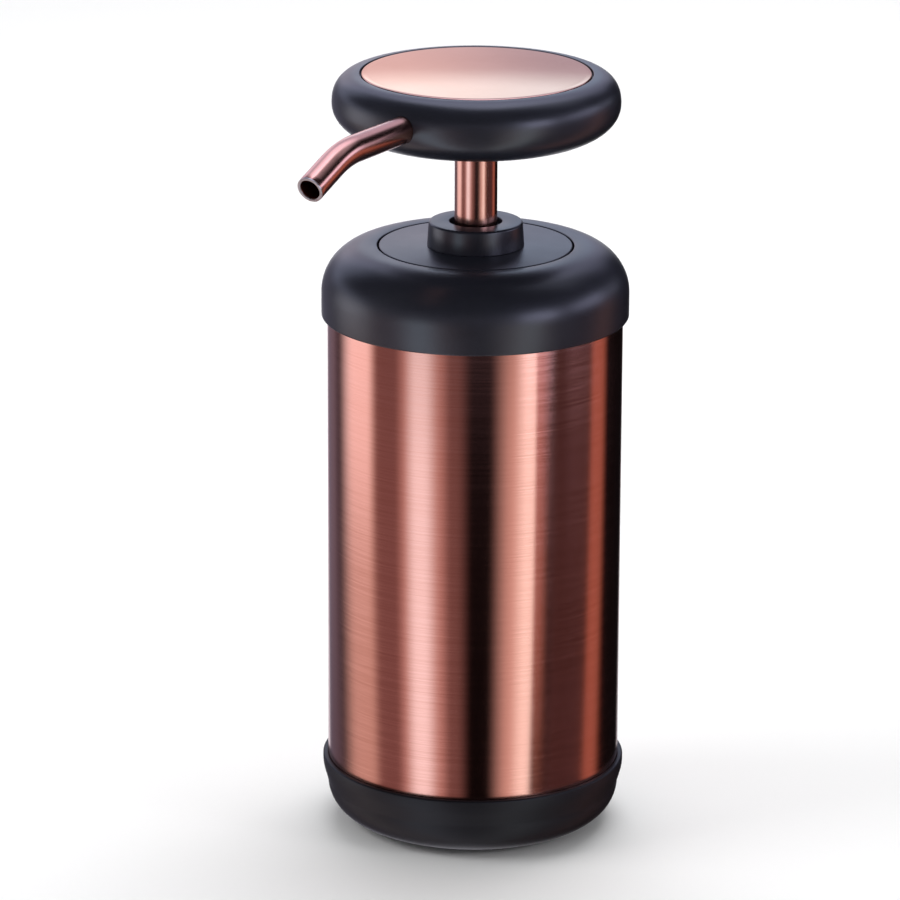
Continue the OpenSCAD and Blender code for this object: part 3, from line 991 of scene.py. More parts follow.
@dataclass
class Base(SubAssembly):
    """Black base with its pad, and the brushed sleeve that stands in it.

    Args:
        foot_round_w: Width of the round between foot and flank.
        foot_round_h: Height of that round.
        pad_edge: Fillet round the pad.
        rim_band: Height of the upright band under the rim.
        rim_round: Fillet of the rim.
        flare_round: Fillets where the flank flares out to the rim.
        groove_gap: Play between the sleeve and its groove, and between the pad and its recess.
        groove_depth: Depth of the groove under the rim.
        groove_edge: Fillet of the groove's outer edge.
        spigot_t: Thickness of the wall inside the sleeve.
        spigot_rise: How far that wall stands over the rim.
        spigot_edge: Fillets on its top.
        floor_t: Thickness of the floor over the pad.
        rib_count: Number of ribs that carry the bottle.
        rib_t: Thickness of a rib.
        rib_in: Distance of its inner end from the axis.
        rib_out: Distance of its outer end.
        rib_sink: How far it sinks into the floor.
        sheet: Thickness of the sleeve.
        sheet_round: Fillets of the sleeve's edges.
        sheet_steps: Number of chords in them.
    """

    foot_round_w: float = 10.0
    foot_round_h: float = 9.0
    pad_edge: float = 0.2
    rim_band: float = 2.5
    rim_round: float = 0.45
    flare_round: float = 9.0
    groove_gap: float = 0.05
    groove_depth: float = 4.0
    groove_edge: float = 0.1
    spigot_t: float = 1.2
    spigot_rise: float = 3.5
    spigot_edge: float = 0.3
    floor_t: float = 2.0
    rib_count: int = 8
    rib_t: float = 1.4
    rib_in: float = 8.4
    rib_out: float = 29.6
    rib_sink: float = 0.1
    sheet: float = 0.5
    sheet_round: float = 0.14
    sheet_steps: int = 3

    def build(self) -> None:
        """Builds and dresses the pieces."""
        self.keep("foot_pad", Slot.FOOT_RUBBER)
        self.cup()
        self.sleeve()

    def cup(self) -> None:
        """Turns the base, with its rounded foot, flared rim and groove."""
        room = Span.of("base_cup")
        sleeve = Span.of("sleeve")
        pad = Span.of("foot_pad")
        rim = room.high - self.spigot_rise
        waist = sleeve.radius
        foot_r = waist - self.foot_round_w
        groove_in = waist - self.sheet - self.groove_gap
        groove_out = waist + self.groove_gap
        cup_in = groove_in - self.spigot_t
        floor = pad.high + self.floor_t
        inner_h = self.foot_round_h + room.low - floor
        outside = quarter(foot_r, room.low + self.foot_round_h, self.foot_round_w, -self.foot_round_h, 0, 90)
        inside = quarter(foot_r, floor + inner_h, cup_in - foot_r, -inner_h, 90, 0)
        corners = [
            Corner(0, pad.high),
            Corner(pad.radius + self.groove_gap, pad.high),
            Corner(pad.radius + self.groove_gap, room.low, self.pad_edge),
            *outside[:-1],
            Corner(waist, outside[-1].z, self.flare_round),
            Corner(room.radius, rim - self.rim_band, self.flare_round),
            Corner(room.radius, rim, self.rim_round),
            Corner(groove_out, rim, self.groove_edge),
            Corner(groove_out, rim - self.groove_depth),
            Corner(groove_in, rim - self.groove_depth),
            Corner(groove_in, room.high, self.spigot_edge),
            Corner(cup_in, room.high, self.spigot_edge),
            *inside,
            Corner(0, floor),
        ]
        piece = lathe("base_shell", rounded(corners), FINE_AROUND)
        # The base's black holds painted shade in its darker colour.
        self.put(piece, Body.BOTTLE, Slot.BLACK_PLASTIC, "base_cup", special=MATTE_BASE_PAINTED_SHADE)
        bottle = Span.of("inner_bottle")
        bars = ribs("base_ribs", self.rib_count, 0, self.rib_in, self.rib_out, self.rib_t,
                    floor - self.rib_sink, bottle.low)
        self.put(bars, Body.BOTTLE, Slot.BLACK_PLASTIC)

    def sleeve(self) -> None:
        """Turns the sleeve, with its edges just broken."""
        room = Span.of("sleeve")
        inner = room.radius - self.sheet
        corners = [
            Corner(room.radius, room.low, self.sheet_round),
            Corner(room.radius, room.high, self.sheet_round),
            Corner(inner, room.high, self.sheet_round),
            Corner(inner, room.low, self.sheet_round),
        ]
        piece = lathe("sleeve_tube", rounded(corners, self.sheet_steps), FINE_AROUND)
        self.put(piece, Body.BOTTLE, Slot.BRUSHED_COPPER, "sleeve")


# What the threads of the bottle's neck and the lid share, and the height of the mesh's rows along them
NECK_THREAD = {"pitch": 3.2, "turns": 1.5}
THREAD_ROW = 0.22


@dataclass
class Flask(SubAssembly):
    """Plastic bottle inside the sleeve, with a screw thread on its neck.

    Args:
        wall: Thickness of the wall.
        foot_r: Fillet between foot and side.
        shoulder_r: Radius of the shoulder.
        neck_h: Height of the neck.
        neck_edge: Fillet at the neck's foot.
        rim_edge: Fillets of the rim.
        inner_edge: Fillets inside.
        push_share: Radius of the pushed-in bottom as a share of the bottle's.
        push_h: How far the bottom is pushed in.
        push_edge: Fillet round it.
        ring_edge: Fillet of the ring that the bottle stands on.
        thread_start: Height of the thread's start over the neck's foot.
        thread_depth: How far the thread stands out.
        row_low: Height of the mesh's lowest row over the neck's foot.
        row_high: Depth of its highest row under the rim.
    """

    wall: float = 1.2
    foot_r: float = 4.0
    shoulder_r: float = 9.0
    neck_h: float = 7.5
    neck_edge: float = 0.4
    rim_edge: float = 0.3
    inner_edge: float = 0.5
    push_share: float = 0.75
    push_h: float = 1.4
    push_edge: float = 1.0
    ring_edge: float = 0.8
    thread_start: float = 1.0
    thread_depth: float = 0.9
    row_low: float = 0.5
    row_high: float = 0.4

    def build(self) -> None:
        """Turns the bottle."""
        room = Span.of("inner_bottle")
        neck = Span.of("lid_gasket").radius
        top = room.high - self.neck_h
        thread = Thread(wall=neck, start=top + self.thread_start, depth=self.thread_depth, **NECK_THREAD)
        corner_r = room.radius - self.shoulder_r
        corner_z = top - self.shoulder_r
        hollow = self.shoulder_r - self.wall
        push_r = room.radius * self.push_share
        corners = [
            Corner(0, room.low + self.push_h),
            Corner(push_r - self.push_h, room.low + self.push_h, self.push_edge),
            Corner(push_r, room.low, self.ring_edge),
            Corner(room.radius, room.low, self.foot_r),
            *quarter(corner_r, corner_z, self.shoulder_r, self.shoulder_r, 90, 0),
            Corner(neck, top, self.neck_edge),
            *wall_rows(neck, top + self.row_low, room.high - self.row_high, THREAD_ROW),
            Corner(neck, room.high, self.rim_edge),
            Corner(neck - self.wall, room.high, self.rim_edge),
            Corner(neck - self.wall, top - self.wall, self.inner_edge),
            *quarter(corner_r, corner_z, hollow, hollow, 0, 90),
            Corner(room.radius - self.wall, room.low + self.wall, self.foot_r - self.wall),
            Corner(push_r, room.low + self.wall, self.inner_edge),
            Corner(push_r - self.push_h, room.low + self.wall + self.push_h, self.inner_edge),
            Corner(0, room.low + self.wall + self.push_h),
        ]
        piece = lathe("soap_bottle", rounded(corners), relief=thread.relief)
        self.put(piece, Body.BOTTLE, Slot.CLEAR_PLASTIC, "inner_bottle")


@dataclass
class Shoulder(SubAssembly):
    """Black shoulder cap with the well for the lid.

    Args:
        big_round: Radius of the shoulder.
        round_steps: Number of chords in it.
        hollow_steps: Number of chords in its inner face.
        wall: Thickness of the wall.
        seam: Width of the gap round the lid.
        groove_depth: Depth of the sleeve's groove over the cap's lower rim.
        groove_edge: Fillet of the groove's outer edge.
        skin_t: Thickness of the wall inside the sleeve.
        well_edge: Fillets of the well.
        rim_edge: Fillet of the lower rim.
        well_depth: Depth of the well under the cap's top.
        rib_count: Number of ribs between the well and the shoulder.
        rib_t: Thickness of a rib.
        rib_len: Length of a rib.
        rib_sink: How far it sinks into the walls.
    """

    big_round: float = 11.5
    round_steps: int = 28
    hollow_steps: int = 12
    wall: float = 2.0
    seam: float = 0.4
    groove_depth: float = 3.3
    groove_edge: float = 0.1
    skin_t: float = 1.2
    well_edge: float = 0.3
    rim_edge: float = 0.5
    well_depth: float = 10.4
    rib_count: int = 12
    rib_t: float = 1.4
    rib_len: float = 6.0
    rib_sink: float = 0.1

    def build(self) -> None:
        """Turns the cap, round shoulder first."""
        room = Span.of("shoulder_cap")
        lid = Span.of("closure_lid")
        sleeve = Span.of("sleeve")
        well = lid.radius + self.seam
        rim = sleeve.high - self.groove_depth
        groove_in = sleeve.radius - Base.sheet - Base.groove_gap
        groove_out = sleeve.radius + Base.groove_gap
        skin = groove_in - self.skin_t
        centre_r = room.radius - self.big_round
        centre_z = room.high - self.big_round
        hollow = self.big_round - self.wall
        outside = quarter(centre_r, centre_z, self.big_round, self.big_round, 90, 0, steps=self.round_steps)
        inside = quarter(centre_r, centre_z, hollow, hollow, 0, 90, steps=self.hollow_steps)
        well_foot = room.high - self.well_depth
        corners = [
            Corner(groove_out, rim, self.groove_edge),
            Corner(room.radius, rim, self.rim_edge),
            *outside,
            Corner(well, room.high, self.well_edge),
            Corner(well, well_foot, self.well_edge),
            Corner(well + self.wall, well_foot, self.well_edge),
            Corner(well + self.wall, room.high - self.wall, self.well_edge),
            *inside,
            Corner(skin, centre_z),
            Corner(skin, room.low),
            Corner(groove_in, room.low),
            Corner(groove_in, sleeve.high),
            Corner(groove_out, sleeve.high),
        ]
        piece = lathe("shoulder_shell", rounded(corners), FINE_AROUND)
        self.put(piece, Body.BOTTLE, Slot.BLACK_PLASTIC, "shoulder_cap")
        inner = well + self.wall - self.rib_sink
        bars = ribs("shoulder_ribs", self.rib_count, 180 / self.rib_count, inner, inner + self.rib_len,
                    self.rib_t, centre_z + hollow / 2, centre_z + hollow + self.rib_sink)
        self.put(bars, Body.BOTTLE, Slot.BLACK_PLASTIC)


@dataclass
class Lid(SubAssembly):
    """Lid with its thread and gaskets, and the collar nut of the pump.

    Args:
        top_t: Thickness of the lid's top.
        skirt_t: Thickness of its skirt.
        skirt_inset: How far the skirt lies inside the lid's edge.
        edge: Fillets of the lid's edge and skirt.
        collar_t: Width of the raised ring under the nut.
        collar_edge: Fillets of that ring.
        thread_start: Height of the thread's start over that of the neck's thread.
        row_ends: Distance of the mesh's first and last row from the skirt's ends.
        nut_gap: Play between the nut and the washer inside it.
        nut_flare: How much the nut narrows to its top.
        nut_edge: Fillet round its top.
        nut_foot_edge: Fillets of its foot.
        nut_hole: Radius of the hole in its top.
        hole_edge: Fillet of the hole's upper edge.
        hole_foot_edge: Fillet of the hole's lower edge.
    """

    top_t: float = 2.0
    skirt_t: float = 1.7
    skirt_inset: float = 0.75
    edge: float = 0.3
    collar_t: float = 2.0
    collar_edge: float = 0.2
    thread_start: float = 1.6
    row_ends: float = 0.4
    nut_gap: float = 0.15
    nut_flare: float = 0.4
    nut_edge: float = 0.6
    nut_foot_edge: float = 0.2
    nut_hole: float = 6.4
    hole_edge: float = 0.25
    hole_foot_edge: float = 0.1

    def build(self) -> None:
        """Builds and dresses the pieces."""
        self.cover()
        self.nut()
        self.keep("lid_gasket", Slot.SEAL_RUBBER)
        self.keep("flange_gasket", Slot.SEAL_RUBBER)
        self.keep("guide_bush", Slot.BLACK_PLASTIC)

    def cover(self) -> None:
        """Turns the lid, whose thread is as deep as the bottle's and runs between its turns."""
        room = Span.of("closure_lid")
        top = Span.of("shoulder_cap").high
        under = top - self.top_t
        collar = Span.of("flange_gasket").radius
        skirt_out = room.radius - self.skirt_inset
        skirt_in = skirt_out - self.skirt_t
        neck_foot = Span.of("inner_bottle").high - Flask.neck_h
        start = neck_foot + Flask.thread_start + self.thread_start
        thread = Thread(wall=skirt_in, start=start, depth=-Flask.thread_depth, **NECK_THREAD)
        corners = [
            Corner(collar - self.collar_t, under, self.collar_edge),
            Corner(skirt_in, under, self.edge),
            *wall_rows(skirt_in, under - self.row_ends, room.low + self.row_ends, THREAD_ROW),
            Corner(skirt_in, room.low, self.edge),
            Corner(skirt_out, room.low, self.edge),
            Corner(skirt_out, under - self.edge),
            Corner(room.radius, under),
            Corner(room.radius, top, self.edge),
            Corner(collar, top, self.collar_edge),
            Corner(collar, room.high, self.collar_edge),
            Corner(collar - self.collar_t, room.high, self.collar_edge),
        ]
        piece = lathe("lid_cover", rounded(corners), relief=thread.relief)
        self.put(piece, Body.PUMP, Slot.BLACK_PLASTIC, "closure_lid")

    def nut(self) -> None:
        """Turns the collar nut."""
        room = Span.of("pump_nut")
        inner = Span.of("flange_gasket").radius + self.nut_gap
        step = Span.of("pump_body").high
        corners = [
            Corner(inner, room.low, self.nut_foot_edge),
            Corner(room.radius, room.low, self.nut_foot_edge),
            Corner(room.radius - self.nut_flare, room.high, self.nut_edge),
            Corner(self.nut_hole, room.high, self.hole_edge),
            Corner(self.nut_hole, step, self.hole_foot_edge),
            Corner(inner, step),
        ]
        piece = lathe("collar_nut", rounded(corners))
        self.put(piece, Body.PUMP, Slot.BLACK_PLASTIC, "pump_nut")


@dataclass
class Pump(SubAssembly):
    """Cylinder, valves, spring and dip tube.

    Args:
        wire: Thickness of the spring's wire.
        turns: Number of turns.
        coil_r: Radius of the wire's middle.
        length: Length of the spring at rest.
        dead: Share of the wire at each end that lies closed.
        rings: Rings of the mesh in one turn.
        sides: Sides of the wire.
        pressed: Share of its length that is left when the head is down; not used.
    """

    wire: float = 0.9
    turns: int = 9
    coil_r: float = 5.55
    length: float = 36.0
    dead: float = 0.09
    rings: int = 28
    sides: int = 14
    pressed: float = 0.5

    def build(self) -> None:
        """Builds and dresses the pieces."""
        self.spring()
        self.keep("pump_body", Slot.CLEAR_PLASTIC)
        self.keep("ball_cage", Slot.WHITE_PLASTIC)
        self.keep("inlet_ball", Slot.BRIGHT_STEEL)
        self.keep("dip_tube", Slot.CLEAR_PLASTIC)
        self.keep("piston", Slot.WHITE_PLASTIC)
        self.keep("stem", Slot.WHITE_PLASTIC)
        self.keep("stem_sleeve", Slot.POLISHED_COPPER)
        self.keep("outlet_ball", Slot.BRIGHT_STEEL)

    def height(self, share: float) -> float:
        """Height of the wire's middle over the spring's foot.

        Args:
            share: Place along the wire from 0 to 1.

        Returns:
            The height in millimetres.
        """
        eased = min(1.0, max(0.0, (share - self.dead) / (1 - 2 * self.dead)))
        closed = self.wire * 2 * self.dead * self.turns
        return self.wire / 2 + share * closed + eased * (self.length - self.wire - closed)

    def spring(self) -> None:
        """Winds the return spring under the piston."""
        foot = Span.of("piston").low - self.length
        build = bmesh.new()
        rings = []
        for index in range(self.turns * self.rings + 1):
            share = index / (self.turns * self.rings)
            turn = FULL_TURN * share * self.turns
            ring = []
            for side in range(self.sides):
                angle = FULL_TURN * side / self.sides
                reach = self.coil_r + self.wire / 2 * math.cos(angle)
                rise = foot + self.height(share) + self.wire / 2 * math.sin(angle)
                ring.append(build.verts.new((reach * math.cos(turn), reach * math.sin(turn), rise)))
            rings.append(ring)
        join_row(build, rings, closed=False)
        piece = self.put(to_object("spring_wire", build), Body.PUMP, Slot.BRIGHT_STEEL, "return_spring")
        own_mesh(piece)


@dataclass
class Head(SubAssembly):
    """Press head with its disc and spout.

    Args:
        belly: Height of the widest line over the underside.
        top_w: Width of the flank's upper round.
        low_w: Width of its lower round.
        top_square: How square the upper round is, 2 for an ellipse.
        low_square: How square the lower round is.
        wall: Thickness of the wall.
        roof: Thickness of the roof under the disc's pad.
        seam: Width of the gap round the disc.
        seam_edge: Fillet of the gap's outer edge.
        plate_r: Radius of the recess for the plate that closes the head.
        plate_t: Depth of that recess, and width of the ledge over it.
        plate_edge: Fillet of its edge.
        plate_gap: Least width of the flank's foot round the recess.
        snap_h: Height of the ledge.
        snap_gap: Least distance of the hollow's round from the ledge.
        hole_gap: Play between the spout and its hole.
        flank_steps: Number of chords in each round of the flank.
        disc_edge: Fillet of the disc's upper edge.
        disc_foot_edge: Fillet of its lower edge.
        disc_crown: Rise of the disc's middle over its edge.
        dome_steps: Number of chords from the middle to the edge.
        run: Distance from the axis at which the spout begins to bend.
        run_steps: Number of stretches before the bend.
        bend: Radius of the bend.
        bend_steps: Number of stretches in it.
        angle: Angle of the bend in degrees.
        end: Length of the straight end.
        end_steps: Number of stretches in it.
        root: Distance of the spout's inner end from the axis.
        tube_wall: Thickness of the spout's wall.
        tube_edge: Fillets at the tube's ends.
        rim_len: Length of the bare rim at the mouth.
        rim_steps: Number of stretches in it.
        rim_inset: How far the rim lies under the plated face.
        rim_edge: Fillets of the rim.
    """

    belly: float = 9.1
    top_w: float = 7.0
    low_w: float = 15.4
    top_square: float = 2.3
    low_square: float = 2.12
    wall: float = 2.0
    roof: float = 1.0
    seam: float = 0.35
    seam_edge: float = 0.18
    plate_r: float = 20.05
    plate_t: float = 1.5
    plate_edge: float = 0.15
    plate_gap: float = 0.3
    snap_h: float = 1.3
    snap_gap: float = 0.1
    hole_gap: float = 0.05
    flank_steps: int = 40
    disc_edge: float = 0.45
    disc_foot_edge: float = 0.1
    disc_crown: float = 0.5
    dome_steps: int = 24
    run: float = 55.0
    run_steps: int = 12
    bend: float = 29.0
    bend_steps: int = 24
    angle: float = 21.5
    end: float = 10.0
    end_steps: int = 6
    root: float = 7.4
    tube_wall: float = 0.7
    tube_edge: float = 0.06
    rim_len: float = 0.35
    rim_steps: int = 3
    rim_inset: float = 0.02
    rim_edge: float = 0.1

    def build(self) -> None:
        """Builds and dresses the pieces."""
        self.shell()
        self.disc()
        self.spout()
        self.keep("head_base", Slot.BLACK_PLASTIC)
        self.keep("elbow", Slot.GREY_PLASTIC)
        self.keep("spout_seal", Slot.SEAL_RUBBER)
        self.keep("disc_pad", Slot.SEAL_RUBBER)

    def spout_height(self) -> float:
        """Height of the spout's straight stretch, from its seal."""
        low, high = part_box("spout_seal")
        return (low.z + high.z) / 2 / MM

    def spout_radius(self) -> float:
        """Outer radius of the spout, from its seal."""
        return Span.of("spout_seal").radius

    def shell(self) -> None:
        """Turns the head's hollow pebble and drills the hole for the spout."""
        room = Span.of("head_shell")
        disc = Span.of("head_disc")
        belly = room.low + self.belly
        recess = disc.radius + self.seam
        recess_z = Span.of("disc_pad").low
        roof = recess_z - self.roof
        floor = room.low + self.plate_t + self.snap_h
        top = room.high - belly
        top_r = room.radius - self.top_w
        start = math.degrees(math.asin(((recess - top_r) / self.top_w) ** (self.top_square / 2)))
        upper = quarter(top_r, belly, self.top_w, top, start, 90, self.top_square, self.flank_steps)
        lower = quarter(room.radius - self.low_w, belly, self.low_w, -self.belly, 90, 0, self.low_square,
                        self.flank_steps)
        lower = [corner for corner in lower if corner.r > self.plate_r + self.plate_gap]
        inner_r = room.radius - self.wall
        low_w = self.low_w - self.wall
        top_w = self.top_w - self.wall / 2
        inner_low = quarter(inner_r - low_w, belly, low_w, floor - belly, 0, 90, self.low_square)
        inner_top = quarter(inner_r - top_w, belly, top_w, roof - belly, 90, 0, self.top_square)
        ledge = self.plate_r - self.plate_t
        corners = [
            Corner(0, recess_z),
            Corner(recess, recess_z),
            Corner(upper[0].r, upper[0].z, self.seam_edge),
            *upper[1:],
            *lower[1:],
            Corner(self.plate_r, room.low, self.plate_edge),
            Corner(self.plate_r, room.low + self.plate_t),
            Corner(ledge, room.low + self.plate_t),
            Corner(ledge, floor),
            *[corner for corner in inner_low[1:-1] if corner.r > ledge + self.snap_gap],
            *inner_top,
            Corner(0, roof),
        ]
        piece = lathe("head_pebble", rounded(corners), FINE_AROUND)
        height = self.spout_height()
        near = Vector((0, -room.radius / 2, height))
        far = Vector((0, -room.radius * 3 / 2, height))
        drill(piece, near, far, self.spout_radius() + self.hole_gap)
        self.put(piece, Body.HEAD, Slot.BLACK_PLASTIC, "head_shell")

    def disc(self) -> None:
        """Turns the domed disc."""
        room = Span.of("head_disc")
        edge = room.high - self.disc_crown
        face = room.radius - self.disc_edge
        dome = []
        for step in range(self.dome_steps):
            share = 1 - step / self.dome_steps
            dome.append(Corner(face * share, edge + self.disc_crown * (1 - share ** 2)))
        corners = [
            Corner(0, room.low),
            Corner(room.radius, room.low, self.disc_foot_edge),
            Corner(room.radius, edge, self.disc_edge),
            *dome[1:],
            Corner(0, room.high),
        ]
        piece = lathe("top_disc", rounded(corners), FINE_AROUND)
        # The disc's copper holds painted light in its lighter, paler colour.
        self.put(piece, Body.HEAD, Slot.POLISHED_COPPER, "head_disc", special=DISC_PAINTED_LIGHT)

    def centre_line(self, start: float, shorter: float) -> list[Vector]:
        """Points of the spout's centre line.

        Args:
            start: Distance of its first point from the axis.
            shorter: Length that is left off at its mouth.

        Returns:
            The points, in millimetres.
        """
        height = self.spout_height()
        line = []
        for step in range(self.run_steps):
            line.append(Vector((0, -start - (self.run - start) * step / self.run_steps, height)))
        for step in range(self.bend_steps + 1):
            turn = math.radians(self.angle) * step / self.bend_steps
            out = self.run + self.bend * math.sin(turn)
            line.append(Vector((0, -out, height - self.bend * (1 - math.cos(turn)))))
        turn = math.radians(self.angle)
        along = Vector((0, -math.cos(turn), -math.sin(turn)))
        elbow = line[-1]
        for step in range(1, self.end_steps + 1):
            line.append(elbow + along * (self.end - shorter) * step / self.end_steps)
        return line

    def spout(self) -> None:
        """Bends the spout's tube, with the bare cut rim at its mouth."""
        outer = self.spout_radius()
        inner = outer - self.tube_wall
        sideways = Vector((1, 0, 0))
        line = self.centre_line(self.root, self.rim_len)
        piece = tube("spout_tube", line, sideways, outer, inner, self.tube_edge)
        self.put(piece, Body.HEAD, Slot.POLISHED_COPPER, "spout", special=SPOUT_FINISH)
        along = (line[-1] - line[-2]).normalized()
        steps = range(self.rim_steps + 1)
        mouth = [line[-1] + along * self.rim_len * step / self.rim_steps for step in steps]
        rim = tube("spout_rim", mouth, sideways, outer - self.rim_inset, inner, self.rim_edge)
        self.put(rim, Body.HEAD, Slot.BRIGHT_STEEL, special=CUT_METAL)


# Set: camera, floor and light


def aimed(place: Vector, along: Vector) -> Matrix:
    """Placement of a camera or lamp.

    Args:
        place: Where it stands.
        along: Where it looks.

    Returns:
        Its world matrix.
    """
    return Matrix.Translation(place) @ along.to_track_quat("-Z", "Y").to_matrix().to_4x4()


@dataclass(frozen=True)
class Viewpoint:
    """Camera where the photograph was taken from, zoomed in on the dispenser.

    Args:
        azimuth: Degrees round the dispenser from straight in front of the spout.
        distance: Level distance from the bottle's axis, in metres.
        height: Height above the table, in metres.
        aim_height: Height of the point on the axis that the camera looks at, in metres.
        aim_side: How far that point lies to the right of the axis, in metres.
        roll: Roll of the camera in degrees.
        lens: Focal length in millimetres.
        sensor: Width of the sensor in millimetres.
        clip: Nearest and farthest distance that it sees, in metres.
    """

    azimuth: float = 30.7
    distance: float = 1.32398
    height: float = 0.5026
    aim_height: float = 0.0945
    aim_side: float = -0.006
    roll: float = 0.25
    lens: float = 226.0
    sensor: float = 36.0
    clip: tuple[float, float] = (0.05, 50.0)

    def build(self) -> None:
        """Makes the camera and gives it to the scene."""
        turn = math.radians(self.azimuth)
        right = Vector((math.cos(turn), math.sin(turn), 0))
        place = Vector((math.sin(turn), -math.cos(turn), 0)) * self.distance + Vector((0, 0, self.height))
        aim = right * self.aim_side + Vector((0, 0, self.aim_height))
        data = bpy.data.cameras.new("viewpoint")
        data.sensor_width = self.sensor
        data.lens = self.lens
        data.clip_start, data.clip_end = self.clip
        camera = to_scene("viewpoint", data)
        camera.matrix_world = aimed(place, aim - place) @ Matrix.Rotation(math.radians(self.roll), 4, "Z")
        bpy.context.scene.camera = camera
        LOG.info("camera at %s", tuple(round(value, 4) for value in place))


def soft_edge(depth: float) -> float:
    """Share of a light at its soft edge.

    Args:
        depth: How far inside the edge a point lies, in widths of the soft edge.

    Returns:
        The share, which rises from 0 half a width outside to 1 half a width inside.
    """
    share = min(1.0, max(0.0, depth + 0.5))
    return share * share * (3 - 2 * share)


@dataclass(frozen=True)
class Panel:
    """A soft light on the globe round the set, as the metal and the plastic mirror it.

    Args:
        left: Left edge, in degrees to the right of the camera's own direction.
        right: Right edge, in the same way.
        soft: Widths of the two soft upright edges in degrees.
        low: Elevation of its lower edge in degrees.
        high: Elevation of its upper edge in degrees.
        fade: Width of its soft level edges in degrees.
        light: Red, green and blue brightness.
    """

    left: float
    right: float
    soft: tuple[float, float]
    low: float
    high: float
    fade: float
    light: Triple

    def share(self, azimuth: float, elevation: float) -> float:
        """Share of the panel's light in one direction.

        Args:
            azimuth: Degrees to the right of the camera's own direction.
            elevation: Degrees above the table.

        Returns:
            The share from 0 to 1.
        """
        middle = (self.left + self.right) / 2
        away = (azimuth - middle + 180) % 360 - 180
        half = (self.right - self.left) / 2
        across = soft_edge((half + away) / self.soft[0]) * soft_edge((half - away) / self.soft[1])
        above, below = elevation - self.low, self.high - elevation
        return across * soft_edge(above / self.fade) * soft_edge(below / self.fade)


